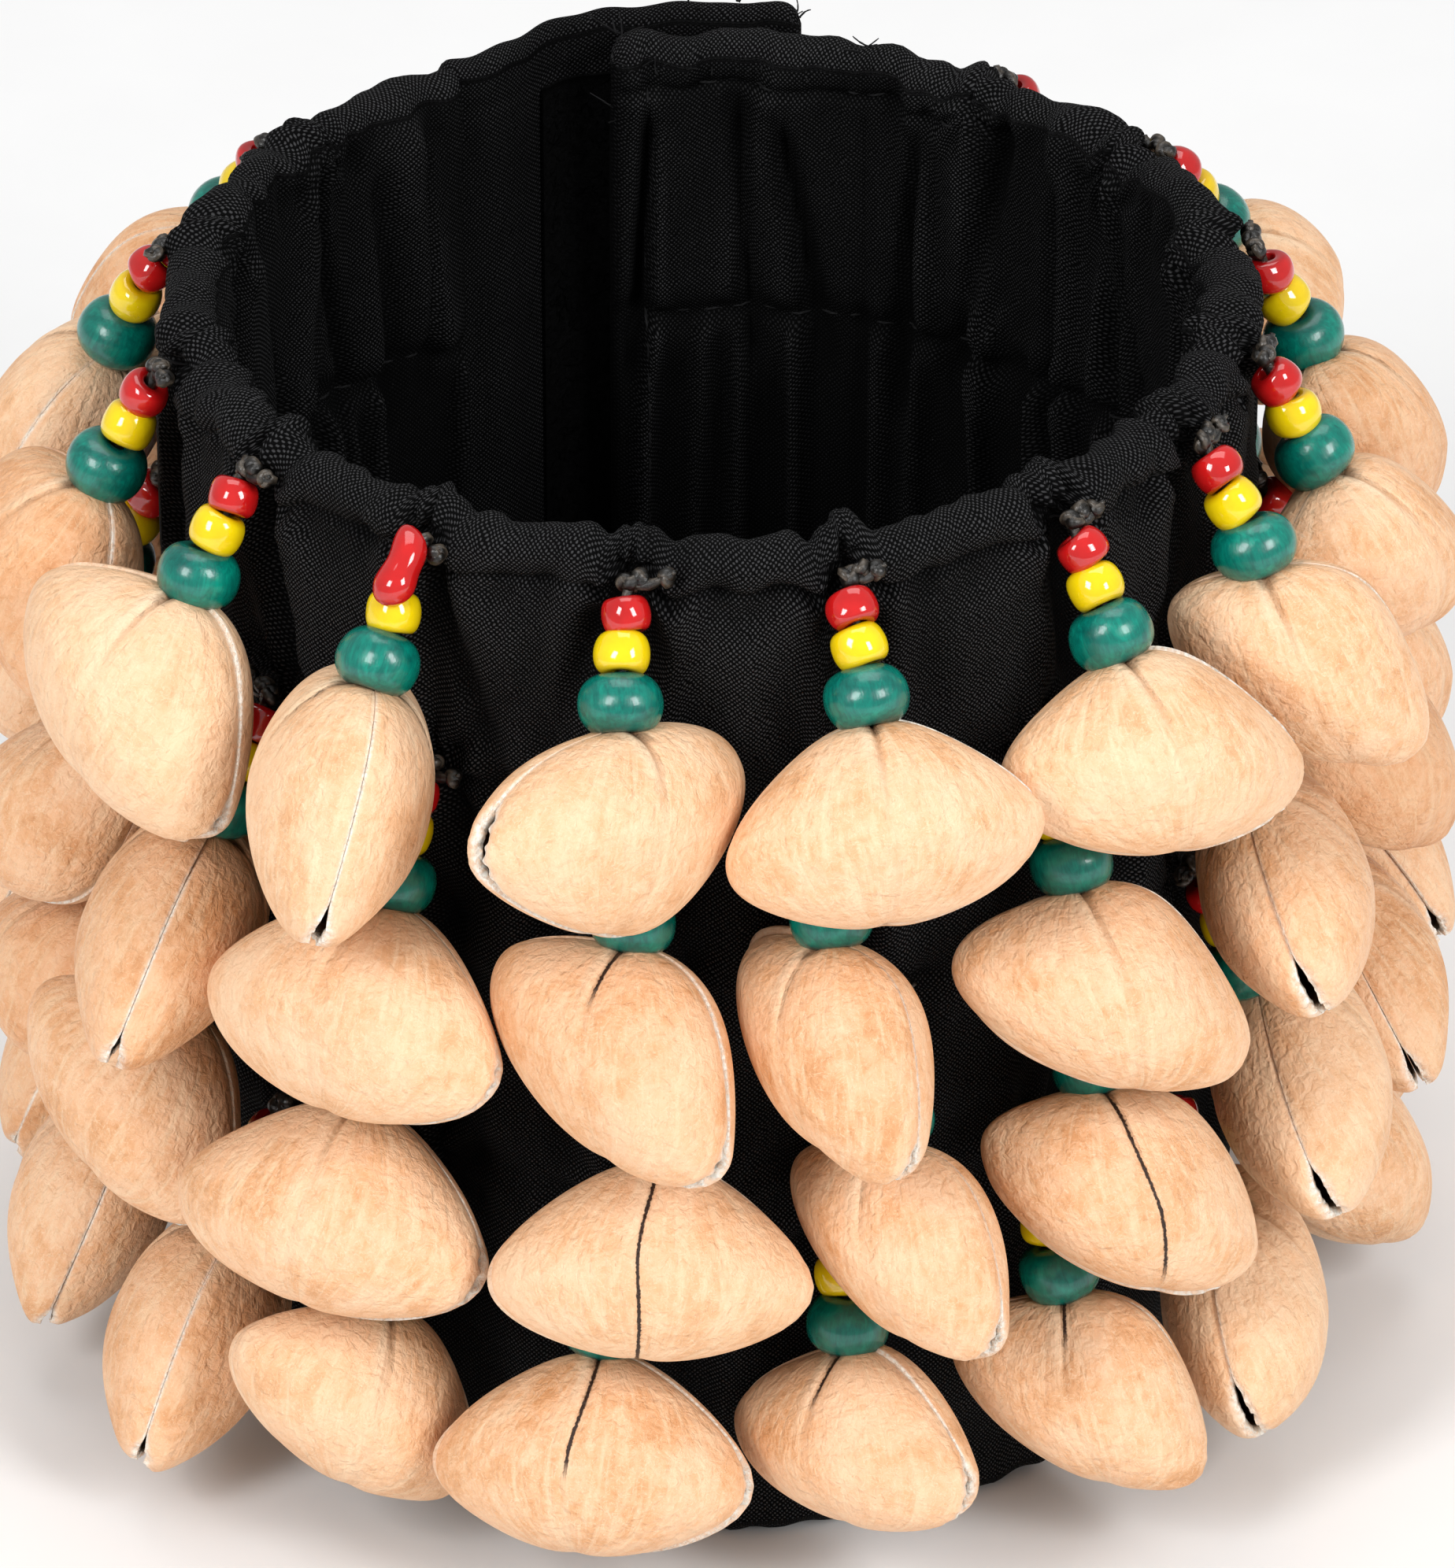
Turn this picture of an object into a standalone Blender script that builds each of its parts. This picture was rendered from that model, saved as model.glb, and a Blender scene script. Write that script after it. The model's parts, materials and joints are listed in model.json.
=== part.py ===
"""Nutshell rattle cuff: a gathered fabric cuff with four rows of beaded nutshell dangles.

Metres, +Z up. The origin is the centre of the cuff's bottom rim, and the front faces -Y.
Angles run round the cuff in degrees: 0 is the front, +90 is +X and 180 is the closure at the back.
"""

import math

import bmesh
import bpy
from mathutils import Euler, Matrix, Vector

# Cuff: a C-shaped band of doubled fabric, closed by a flap at the back
CUFF_HEIGHT = 0.094
CUFF_OUTER = 0.0440
CUFF_INNER = 0.0410
BAND_START = -150.0
BAND_END = 191.5
ROOT_GAP = 0.5
RING_STEPS = 32
GAP = 0.0003

# Elastics: flat tapes in tunnels between the two layers of fabric
TUNNEL_HEIGHTS = {
    "elastic_bottom": 0.0060,
    "elastic_lower": 0.0350,
    "elastic_upper": 0.0650,
    "elastic_top": 0.0870,
}
TUNNEL_INNER = 0.0418
TUNNEL_OUTER = 0.0432
TUNNEL_WIDTH = 0.0056
ELASTIC_WIDTH = 0.0046
ELASTIC_SETBACK = 1.5

# Closure: hook strip on the band's free end, loop strip on the inner face of the flap
STRIP_HEIGHT = 0.080
STRIP_THICKNESS = 0.0007
STRIP_STACK = 2 * (STRIP_THICKNESS + GAP) + GAP
FLAP_HEIGHT = 0.089
FLAP_TIP = 170.6
FLAP_ROOT = BAND_START + 360.0 - ROOT_GAP
FLAP_STEP = (194.0, 206.0)
FLAP_THICKNESS = 0.0020
HOOK_SPAN = (173.0, 190.5)
LOOP_SPAN = (171.5, 189.5)

# Dangles: the hinge is the knot, and the strand hangs from it, leaning on the row below
ROW_KNOT_HEIGHTS = (0.0910, 0.0712, 0.0514, 0.0325)
KNOT_RADIUS = 0.0010
KNOT_STANDOFF = 0.0014
CORD_RADIUS = 0.0006
RED_BEAD = (0.0020, 0.0028)
YELLOW_BEAD = (0.0022, 0.0032)
GREEN_BEAD = (0.0033, 0.0046)
BEADS_START = 0.0010
STRAND_TO_NUT = 0.0116
STRAND_STEPS = 6
CORD_INTO_NUT = 0.0022

# Nutshell: half length, half thickness and half height of a nut of size 1
NUT_HALF = Vector((0.0127, 0.0073, 0.0081))
SHELL_SHARE = 0.84
SLIT_WIDTH = 0.0012
SLIT_FROM = 0.70

# The columns are evenly spaced round the band, in degrees, apart from the drift of the gathered cloth
COLUMN_FIRST = -126.5
COLUMN_STEP = 22.75

# One line per column: its drift, then for each row from the top an
# (angle offset, lean, roll of the long axis, yaw about the strand, size) tuple
COLUMNS = (
    (0, ((0, 29, 52, -50, 0.94), (4, 30, 14, -20, 0.94), (-2, 29, 128, 50, 0.94), (3, 26, 50, -52, 0.92))),
    (2, ((0, 26, 56, -20, 0.96), (3, 27, 124, 22, 0.94), (-2, 27, 60, -20, 0.94), (3, 24, 56, -20, 0.92))),
    (5, ((0, 27, 24, 10, 0.96), (3, 27, 126, 20, 0.94), (-2, 27, 150, 10, 0.94), (3, 24, 56, -22, 0.92))),
    (5, ((0, 31, 26, 16, 1.04), (3, 30, 56, -50, 0.98), (-3, 30, 24, 26, 0.96), (3, 26, 54, -54, 0.98))),
    (5, ((0, 31, 54, -54, 1.00), (1, 31, 4, 0, 1.06), (-2, 30, 0, 10, 1.06), (-1, 25, 22, 46, 0.92))),
    (5, ((0, 31, 160, 44, 1.00), (1, 30, 40, -20, 1.00), (3, 30, 0, 4, 1.00), (-2, 28, 0, 0, 1.02))),
    (4, ((0, 31, -2, -2, 1.01), (-3, 29, 54, -52, 0.92), (3, 30, 48, -50, 0.90), (-1, 25, 16, -48, 0.90))),
    (6, ((0, 31, 18, -14, 1.00), (-4, 31, 36, -18, 1.00), (-1, 29, 44, -16, 0.98), (-4, 26, 44, -40, 0.92))),
    (4, ((0, 30, 56, -54, 0.94), (-3, 31, 136, 30, 0.95), (1, 30, 134, 24, 1.00), (-5, 26, 138, 24, 0.96))),
    (0, ((0, 27, 30, -16, 0.96), (2, 27, 56, -22, 0.92), (2, 27, 128, 20, 0.92), (2, 24, 56, -22, 0.92))),
    (0, ((0, 26, 56, -20, 0.96), (-4, 27, 56, -20, 0.94), (2, 27, 126, 20, 0.94), (-2, 24, 54, -20, 0.92))),
    (0, ((0, 31, 14, -30, 0.98), (-3, 30, 54, -52, 0.94), (2, 29, 126, 50, 0.94), (-2, 26, 52, -50, 0.92))),
    (0, ((0, 30, 54, -50, 0.94), (-3, 30, 128, 50, 0.94), (2, 30, 52, -50, 0.93), (-3, 25, 126, 50, 0.88))),
)

# Linear base colour, roughness
COLOURS = {
    "black_fabric": ((0.015, 0.015, 0.017), 0.95),
    "elastic": ((0.012, 0.012, 0.012), 0.80),
    "hook_loop": ((0.020, 0.020, 0.022), 1.00),
    "nutshell": ((0.78, 0.55, 0.34), 0.60),
}


def make_collection(name):
    collection = bpy.data.collections.new(name)
    bpy.context.scene.collection.children.link(collection)
    return collection


def clear_scene():
    for item in list(bpy.data.objects):
        bpy.data.objects.remove(item, do_unlink=True)


def make_materials():
    materials = {}
    for name, (colour, roughness) in COLOURS.items():
        material = bpy.data.materials.new(name)
        material.use_nodes = True
        shader = material.node_tree.nodes["Principled BSDF"]
        shader.inputs["Base Color"].default_value = (*colour, 1.0)
        shader.inputs["Roughness"].default_value = roughness
        material.diffuse_color = (*colour, 1.0)
        materials[name] = material
    return materials


def around(radius, angle, height=0.0):
    """The point at this radius, angle in degrees and height."""
    turn = math.radians(angle)
    return Vector((radius * math.sin(turn), -radius * math.cos(turn), height))


def make_object(name, data, collection, material=None):
    item = bpy.data.objects.new(name, data)
    collection.objects.link(item)
    if material:
        data.materials.append(material)
    return item


def make_cutter(name, data, cutters):
    item = make_object(name, data, cutters)
    item.hide_render = True
    item.display_type = "WIRE"
    return item


def add_boolean(item, other, operation):
    modifier = item.modifiers.new(f"{operation.lower()} {other.name}", "BOOLEAN")
    modifier.operation = operation
    modifier.object = other
    modifier.solver = "EXACT"


def ring_mesh(name, inner, outer, low, high):
    """A rectangle profile, outer side running down first, for a Screw modifier to turn."""
    corners = ((outer, high), (outer, low), (inner, low), (inner, high))
    mesh = bpy.data.meshes.new(name)
    mesh.from_pydata([(x, 0.0, z) for x, z in corners], [(0, 1), (1, 2), (2, 3), (3, 0)], [])
    return mesh


def add_screw(item, steps):
    screw = item.modifiers.new("turn", "SCREW")
    screw.steps = steps
    screw.render_steps = steps
    screw.use_merge_vertices = True
    screw.merge_threshold = 1e-5


def plan_object(name, outline, low, high, collection, material=None):
    """A flat outline in plan, standing from low to high, as a mesh object."""
    curve = bpy.data.curves.new(name, "CURVE")
    curve.dimensions = "2D"
    curve.fill_mode = "BOTH"
    curve.extrude = (high - low) / 2
    spline = curve.splines.new("POLY")
    spline.points.add(len(outline) - 1)
    for point, place in zip(spline.points, outline):
        point.co = (place.x, place.y, 0.0, 1.0)
    spline.use_cyclic_u = True
    shape = bpy.data.objects.new(name, curve)
    collection.objects.link(shape)
    bpy.context.view_layer.update()
    mesh = bpy.data.meshes.new_from_object(shape.evaluated_get(bpy.context.evaluated_depsgraph_get()))
    bpy.data.objects.remove(shape)
    mesh.name = name
    solid = bmesh.new()
    solid.from_mesh(mesh)
    bmesh.ops.remove_doubles(solid, verts=solid.verts, dist=1e-6)
    bmesh.ops.recalc_face_normals(solid, faces=solid.faces)
    bmesh.ops.translate(solid, verts=solid.verts, vec=(0.0, 0.0, (low + high) / 2))
    solid.to_mesh(mesh)
    solid.free()
    return make_object(name, mesh, collection, material)


def arc_outline(start, end, inner_of, outer_of, steps):
    """Out along the outer radius and back along the inner one; both are functions of the angle."""
    angles = [start + (end - start) * i / steps for i in range(steps + 1)]
    outer = [around(outer_of(angle), angle) for angle in angles]
    inner = [around(inner_of(angle), angle) for angle in reversed(angles)]
    return outer + inner


def wedge_outline():
    """The sector between the band's end and its start, where the flap crosses the gap."""
    reach = CUFF_OUTER * 1.3
    return [Vector((0.0, 0.0, 0.0))] + [around(reach, a) for a in (BAND_END, 200.75, BAND_START + 360.0)]


def make_cover(parts, cutters, material):
    cover = make_object(
        "cuff_cover", ring_mesh("cuff_cover", CUFF_INNER, CUFF_OUTER, 0.0, CUFF_HEIGHT), parts, material
    )
    add_screw(cover, RING_STEPS)
    for name, height in TUNNEL_HEIGHTS.items():
        low, high = height - TUNNEL_WIDTH / 2, height + TUNNEL_WIDTH / 2
        tunnel = make_cutter(
            f"tunnel_{name}", ring_mesh(f"tunnel_{name}", TUNNEL_INNER, TUNNEL_OUTER, low, high), cutters
        )
        add_screw(tunnel, RING_STEPS)
        add_boolean(cover, tunnel, "DIFFERENCE")
    opening = plan_object("closure_gap", wedge_outline(), -0.01, CUFF_HEIGHT + 0.01, cutters)
    opening.hide_render = True
    opening.display_type = "WIRE"
    add_boolean(cover, opening, "DIFFERENCE")


def make_elastics(parts, material):
    start, end = BAND_START + ELASTIC_SETBACK, BAND_END - ELASTIC_SETBACK
    inner, outer = TUNNEL_INNER + GAP, TUNNEL_OUTER - GAP
    outline = arc_outline(start, end, lambda _: inner, lambda _: outer, RING_STEPS)
    for name, height in TUNNEL_HEIGHTS.items():
        plan_object(name, outline, height - ELASTIC_WIDTH / 2, height + ELASTIC_WIDTH / 2, parts, material)


def flap_share(angle):
    """How much of its full step outward the flap has made at this angle, from 0 to 1, smoothly."""
    low, high = FLAP_STEP
    share = min(1.0, max(0.0, (high - angle) / (high - low)))
    return share * share * (3 - 2 * share)


def flap_inner(angle):
    return CUFF_INNER + (CUFF_OUTER + STRIP_STACK - CUFF_INNER) * flap_share(angle)


def flap_outer(angle):
    return CUFF_OUTER + (STRIP_STACK + FLAP_THICKNESS) * flap_share(angle)


def make_closure(parts, fabric, strip):
    middle = CUFF_HEIGHT / 2
    flap = arc_outline(FLAP_TIP, FLAP_ROOT, flap_inner, flap_outer, 26)
    plan_object("closure_flap", flap, middle - FLAP_HEIGHT / 2, middle + FLAP_HEIGHT / 2, parts, fabric)
    low, high = middle - STRIP_HEIGHT / 2, middle + STRIP_HEIGHT / 2
    hook_in = CUFF_OUTER + GAP
    loop_in = hook_in + STRIP_THICKNESS + GAP
    for name, span, inner in (("hook_strip", HOOK_SPAN, hook_in), ("loop_strip", LOOP_SPAN, loop_in)):
        outline = arc_outline(*span, lambda _, r=inner: r, lambda _, r=inner: r + STRIP_THICKNESS, 10)
        plan_object(name, outline, low, high, parts, strip)


def bead_profile(top, bead, shoulders):
    """The hole's edge, then the shoulders, of a bead whose top is this far along the strand."""
    radius, length = bead
    return [(CORD_RADIUS + GAP, top)] + [(radius, top + share * length) for share in shoulders]


def strand_mesh(name, end):
    """The knot, the three beads and the cord as one turned profile, from above the knot to its end."""
    profile = [(0.0, -KNOT_RADIUS), (KNOT_RADIUS, 0.0)]
    along = BEADS_START
    for bead, shoulders in ((RED_BEAD, (0.5,)), (YELLOW_BEAD, (0.5,)), (GREEN_BEAD, (0.25, 0.75))):
        profile += bead_profile(along, bead, shoulders)
        along += bead[1]
    profile += [(CORD_RADIUS, along), (CORD_RADIUS, end), (0.0, end)]
    mesh = bpy.data.meshes.new(name)
    edges = [(i, i + 1) for i in range(len(profile) - 1)]
    mesh.from_pydata([(radius, 0.0, -drop) for radius, drop in profile], edges, [])
    return mesh


def nut_point(unit, half):
    """A unit sphere point moved to the nut: pointed ends set low, a hooded crown, a thin lower edge."""
    ends = 1.0 - 0.16 * unit.x * unit.x
    hood = 1.0 - 0.22 * max(0.0, unit.z) ** 2
    edge = 1.0 - 0.22 * max(0.0, -unit.z)
    sag = 0.20 * (1.0 - unit.z * unit.z)
    return Vector((unit.x * half.x * hood, unit.y * half.y * ends * edge, (unit.z * ends - sag) * half.z))


def nut_mesh(name, half, detail, turn):
    shape = bmesh.new()
    bmesh.ops.create_icosphere(shape, subdivisions=detail, radius=1.0)
    for vertex in shape.verts:
        vertex.co = turn @ nut_point(vertex.co, half)
    mesh = bpy.data.meshes.new(name)
    shape.to_mesh(mesh)
    shape.free()
    return mesh


def slit_mesh(name, half, turn):
    """A thin box through the tip of the nut, in the plane of its seam."""
    shape = bmesh.new()
    bmesh.ops.create_cube(shape, size=1.0)
    size = Vector((half.x * (1.4 - SLIT_FROM), SLIT_WIDTH, half.z * 1.5))
    centre = Vector((half.x * (1.4 + SLIT_FROM) / 2, 0.0, -0.35 * half.z))
    for vertex in shape.verts:
        place = Vector((a * b for a, b in zip(vertex.co, size)))
        vertex.co = turn @ (place + centre)
    mesh = bpy.data.meshes.new(name)
    shape.to_mesh(mesh)
    shape.free()
    return mesh


def nut_turn(half, roll, yaw):
    """The nut's place in the strand's frame: its crown is at the end of the strand."""
    tilt = math.radians(roll)
    reach = 1.0 / math.hypot(math.sin(tilt) / half.x, math.cos(tilt) / half.z)
    down = Matrix.Translation((0.0, 0.0, -(STRAND_TO_NUT + reach)))
    return down @ Euler((0.0, tilt, math.radians(yaw))).to_matrix().to_4x4()


def make_dangle(name, knot, angle, lean, shape, parts, cutters, material):
    """One dangle: a hollow nutshell with a slit, joined to its knotted strand of beads."""
    roll, yaw, size = shape
    half = NUT_HALF * size
    turn = nut_turn(half, roll, yaw)
    nut = make_object(name, nut_mesh(name, half, 2, turn), parts, material)
    cavity = make_cutter(f"{name}_cavity", nut_mesh(f"{name}_cavity", half * SHELL_SHARE, 1, turn), cutters)
    slit = make_cutter(f"{name}_slit", slit_mesh(f"{name}_slit", half, turn), cutters)
    strand_end = STRAND_TO_NUT + CORD_INTO_NUT
    strand = make_cutter(f"{name}_strand", strand_mesh(f"{name}_strand", strand_end), cutters)
    add_screw(strand, STRAND_STEPS)
    for other, operation in ((cavity, "DIFFERENCE"), (slit, "DIFFERENCE"), (strand, "UNION")):
        add_boolean(nut, other, operation)
    for item in (nut, cavity, slit, strand):
        item.location = knot
        item.rotation_euler = (-math.radians(lean), 0.0, math.radians(angle))


def make_dangles(parts, cutters, material):
    for column, (drift, rows) in enumerate(COLUMNS, start=1):
        base = COLUMN_FIRST + COLUMN_STEP * (column - 1) + drift
        for row, (offset, lean, *shape) in enumerate(rows, start=1):
            angle = base + offset
            knot = around(CUFF_OUTER + KNOT_STANDOFF, angle, ROW_KNOT_HEIGHTS[row - 1])
            name = f"dangle_r{row}_c{column:02d}"
            make_dangle(name, knot, angle, lean, shape, parts, cutters, material)


def main():
    clear_scene()
    parts = make_collection("nutshell_rattle_cuff")
    cutters = make_collection("cutters")
    materials = make_materials()
    make_cover(parts, cutters, materials["black_fabric"])
    make_elastics(parts, materials["elastic"])
    make_closure(parts, materials["black_fabric"], materials["hook_loop"])
    make_dangles(parts, cutters, materials["nutshell"])


main()
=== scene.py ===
"""Nutshell rattle cuff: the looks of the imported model. Metres, +Z up, the front faces -Y.

Sizes inside the mesh code are millimetres unless a name says otherwise, and MM turns them to metres.
Angles run round the cuff in degrees: 0 is the front, +90 is +X and 180 is the closure at the back.
"""

import json
import math

import bpy
import numpy as np
from mathutils import Euler, Matrix, Vector


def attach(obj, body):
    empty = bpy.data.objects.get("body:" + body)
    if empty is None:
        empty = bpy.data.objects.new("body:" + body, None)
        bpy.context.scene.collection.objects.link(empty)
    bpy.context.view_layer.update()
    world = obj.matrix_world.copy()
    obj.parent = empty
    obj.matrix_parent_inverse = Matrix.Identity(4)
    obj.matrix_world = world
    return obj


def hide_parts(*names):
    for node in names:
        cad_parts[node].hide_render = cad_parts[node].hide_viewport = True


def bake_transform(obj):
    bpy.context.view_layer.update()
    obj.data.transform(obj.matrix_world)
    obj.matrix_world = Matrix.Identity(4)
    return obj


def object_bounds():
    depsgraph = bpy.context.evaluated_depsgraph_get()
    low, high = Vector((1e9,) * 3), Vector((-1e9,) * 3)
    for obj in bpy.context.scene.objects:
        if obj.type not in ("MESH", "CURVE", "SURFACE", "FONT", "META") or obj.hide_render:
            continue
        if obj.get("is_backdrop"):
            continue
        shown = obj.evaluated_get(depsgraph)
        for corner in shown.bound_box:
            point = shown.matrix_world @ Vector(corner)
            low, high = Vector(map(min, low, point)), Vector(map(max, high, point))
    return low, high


MM = 0.001
TURN = 2 * math.pi

# Cuff
CUFF_HEIGHT = 94.0
CUFF_OUTER = 44.0
CUFF_INNER = 41.0
BAND_START = -150.0
BAND_END = 191.5
FLAP_TIP = 170.6
FLAP_ROOT = 209.9
FLAP_STEP = (194.0, 206.0)
# The flap steps outward between the two FLAP_STEP angles; its inner face then stands this far past the cuff's
# outer radius, in millimetres
STRIP_STACK = 2.3
FLAP_THICKNESS = 2.0
ELASTICS = {"elastic_bottom": 6.0, "elastic_lower": 35.0, "elastic_upper": 65.0, "elastic_top": 87.0}
ELASTIC_WIDTH = 4.6
ELASTIC_HALF = 0.16
HOOK_SPAN = (173.0, 190.5)
LOOP_SPAN = (171.5, 198.5)
LOOP_COUNT = 1500

# Cloth detail
HEM_STITCH = 90.0
HEM_ROLL = 92.2
CASING_STITCH = 67.9
WEAVE_PITCH = 0.21
PLEATS = 7
PLEAT_REACH = 14.0
FOLD_FADE = 6.0
CLOTH_COLUMNS = 460
CLOTH_ROWS = 84
FLAP_COLUMNS = 92
FLAP_ROWS = 90
ROLL_STEPS = 10
ROLL_RUN = 5.0
# How far the flap's root runs into the cover, where the two are one cloth
ROOT_LAP = 1.7
# How far from the band's end the hem shows inside, before the gathers hide it
HEM_SEEN = 34.0
# The band's sewn end is stitched this far in
END_STITCH = 3.0
# Knots higher than this are the top row's
TOP_ROW = 80.0
# How far the rolled rim at the top and the one at the foot stand past the flat cloth
RIM_ROLL = 1.8
FOOT_ROLL = 1.4
# The third cloth coordinate is 0 on the outer layer, 1 and 2 on the rolled rims, and this on the inner one
INNER_LAYER = 40.0
# Kinds of fold: count, seed, range of widths, range of depths (below zero is towards the cuff's axis),
# drift of the slope, and the ranges of a fold's upper and lower end
OUTER_FOLDS = (
    (50, 11, (0.9, 2.2), (-0.85, 0.60), 0.07, (80, 90), (-6, 30)),
    (64, 12, (0.7, 1.3), (-0.65, 0.40), 0.10, (30, 75), (-6, 30)),
)
INNER_FOLDS = (
    (34, 21, (1.2, 2.6), (-2.2, -0.8), 0.13, (90, 93), (60, 67)),
    (34, 23, (0.65, 1.2), (1.2, 2.8), 0.13, (84, 92), (60, 67)),
    (50, 22, (0.70, 1.2), (-3.2, -1.6), 0.045, (66, 70), (-6, 8)),
)
FLAP_FOLDS = (13, 31, (0.7, 1.6), (-0.50, 0.35), 0.05, (80, 92), (-6, 12))
STITCH_LENGTH = 1.9
STITCH_STEP = 2.7
STITCH_RADIUS = 0.13

# Dangles: the hinge is the knot
CORD_RADIUS = 0.5
KNOT_PLY = 0.52
BEADS_START = 1.0
# From the top: colour, (radius, length), how barrel-shaped, how uneven, how far it nods forward
BEADS = (
    ("red", (2.0, 2.8), 0.56, 0.05, 0.30),
    ("yellow", (2.2, 3.2), 0.54, 0.035, 0.20),
    ("green", (3.35, 4.7), 0.72, 0.035, 0.06),
)
NUT_LIFT = 0.55
STRAND_TO_NUT = 11.6
NUT_HALF = np.array((12.7, 7.3, 8.1))
SHELL_WALL = 1.0

# Mesh detail of nutshells and beads
NUT_AROUND = 144
NUT_OUTER_ROWS = 32
NUT_INNER_ROWS = 7
SLIT_HALF = 0.36
SEAM_HALF = 0.02
BEAD_AROUND = 44
LONG_BEAD_AROUND = 40
LONG_BEAD_ROWS = 46
LONG_BEAD_HALF = 3.4

# One line per column, from the left of the closure round to its right: for each row from the
# top, a (lean, roll of the long axis, yaw about the strand, size) tuple
COLUMNS = (
    ((29, 52, -50, 0.94), (30, 14, -20, 0.94), (29, 128, 50, 0.94), (26, 50, -52, 0.92)),
    ((26, 56, -20, 0.96), (27, 124, 22, 0.94), (27, 60, -20, 0.94), (24, 56, -20, 0.92)),
    ((27, 24, 10, 0.96), (27, 126, 20, 0.94), (27, 150, 10, 0.94), (24, 56, -22, 0.92)),
    ((31, 26, 16, 1.04), (30, 56, -50, 0.98), (30, 24, 26, 0.96), (26, 54, -54, 0.98)),
    ((31, 54, -54, 1.00), (31, 4, 0, 1.06), (30, 0, 10, 1.06), (25, 22, 46, 0.92)),
    ((31, 160, 44, 1.00), (30, 40, -20, 1.00), (30, 0, 4, 1.00), (28, 0, 0, 1.02)),
    ((31, -2, -2, 1.01), (29, 54, -52, 0.92), (30, 48, -50, 0.90), (25, 16, -48, 0.90)),
    ((31, 18, -14, 1.00), (31, 36, -18, 1.00), (29, 44, -16, 0.98), (26, 44, -40, 0.92)),
    ((30, 56, -54, 0.94), (31, 136, 30, 0.95), (30, 134, 24, 1.00), (26, 138, 24, 0.96)),
    ((27, 30, -16, 0.96), (27, 56, -22, 0.92), (27, 128, 20, 0.92), (24, 56, -22, 0.92)),
    ((26, 56, -20, 0.96), (27, 56, -20, 0.94), (27, 126, 20, 0.94), (24, 54, -20, 0.92)),
    ((31, 14, -30, 0.98), (30, 54, -52, 0.94), (29, 126, 50, 0.94), (26, 52, -50, 0.92)),
    ((30, 54, -50, 0.94), (30, 128, 50, 0.94), (30, 52, -50, 0.93), (25, 126, 50, 0.88)),
)

# Nuts with a hairline crack down the crease, by (row, column), and how many CRACK_RUNs it runs
CRACKS = {(4, 6): 0.9, (3, 6): 1.6, (3, 8): 1.5, (2, 6): 0.45,
          (4, 7): 0.4, (4, 8): 0.35, (2, 2): 1.2, (3, 12): 1.3}
CRACK_RUN = 11.0
# Browner or paler nuts, from -1, palest, to 1, brownest
TINTS = {(1, 3): 0.8, (1, 4): -0.7, (2, 4): 0.5, (3, 4): 0.2, (2, 10): 0.9, (1, 6): -0.3, (4, 9): -0.6,
         (3, 9): -0.5, (3, 10): 0.3, (1, 8): -0.3, (3, 3): 0.7, (2, 3): 0.3, (4, 7): 0.1, (1, 5): -0.4}
# The one red bead that is a long bent drop of glass
LONG_BEAD = (1, 5)

# Frayed places: (angle, radius, height, count of threads, their length)
COVER_FRAYS = (
    (BAND_END - 0.6, 43.0, 93.0, 5, 1.9),
    (BAND_END - 1.0, 41.5, 86.0, 3, 1.4),
    (161.5, 41.6, 93.3, 5, 2.0),
    (161.5, 41.2, 84.0, 3, 1.5),
    (177.0, 41.2, 89.5, 2, 1.3),
    *((angle, 39.9, 91.0, 3, 1.4) for angle in range(168, 190, 3)),
)
FLAP_FRAYS = ((FLAP_TIP + 0.8, 47.2, 92.6, 5, 1.6), (177.5, 47.4, 93.4, 2, 1.6), (181.5, 47.4, 93.2, 3, 1.7))

CAMERA_DISTANCE = 0.900
CAMERA_ELEVATION = 31.5
CAMERA_AIM = Vector((0.0015, 0.0, 0.0453))
CAMERA_LENS = 249.2
FLOOR_RADIUS = 3.0
FLOOR_SIDES = 64
FLOOR_DROP = 0.0002


# ---- mesh helpers


def around(radius, angle, height=0.0):
    """A point at this angle round the cuff."""
    turn = math.radians(angle)
    return Vector((radius * math.sin(turn), -radius * math.cos(turn), height))


def make_mesh(name, points, faces, material, attributes=None, metres=MM):
    """A smooth mesh object from arrays; attributes are a name and an array of three numbers a point."""
    mesh = bpy.data.meshes.new(name)
    mesh.from_pydata((np.asarray(points) * metres).tolist(), [], [list(face) for face in faces])
    for key, values in (attributes or {}).items():
        layer = mesh.attributes.new(key, "FLOAT_VECTOR", "POINT")
        layer.data.foreach_set("vector", np.asarray(values, np.float32).ravel())
    mesh.materials.append(material)
    mesh.shade_smooth()
    mesh.update()
    item = bpy.data.objects.new(name, mesh)
    bpy.context.scene.collection.objects.link(item)
    return item


def grid_faces(rows, columns, closed_rows=False, closed_columns=False):
    """Quads of a grid whose point (r, c) has index r * columns + c."""
    r = np.arange(rows if closed_rows else rows - 1)[:, None]
    c = np.arange(columns if closed_columns else columns - 1)[None, :]
    r2, c2 = (r + 1) % rows, (c + 1) % columns
    corners = (r * columns + c, r * columns + c2, r2 * columns + c2, r2 * columns + c)
    return np.stack([np.broadcast_to(x, (r.size, c.size)) for x in corners], -1).reshape(-1, 4)


def triples(x, y, z):
    """Rows of three numbers, from arrays that are spread to one shape."""
    return np.stack(np.broadcast_arrays(x, y, z), -1).reshape(-1, 3)


def caps(rows, ring):
    """The two end faces of a tube of this many rings."""
    return [list(range(ring))[::-1], [(rows - 1) * ring + i for i in range(ring)]]


def join(parts):
    """Several (points, faces, values) as one; values is one array of three numbers a point."""
    points, faces, values, start = [], [], [], 0
    for part_points, part_faces, part_values in parts:
        points.append(part_points)
        values.append(part_values)
        faces += [[i + start for i in face] for face in part_faces]
        start += len(part_points)
    return np.concatenate(points), faces, np.concatenate(values)


def make_joined(name, parts, material):
    """One mesh object from parts whose values are cloth coordinates."""
    points, faces, values = join(parts)
    return make_mesh(name, points, faces, material, {"cloth": values})


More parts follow.
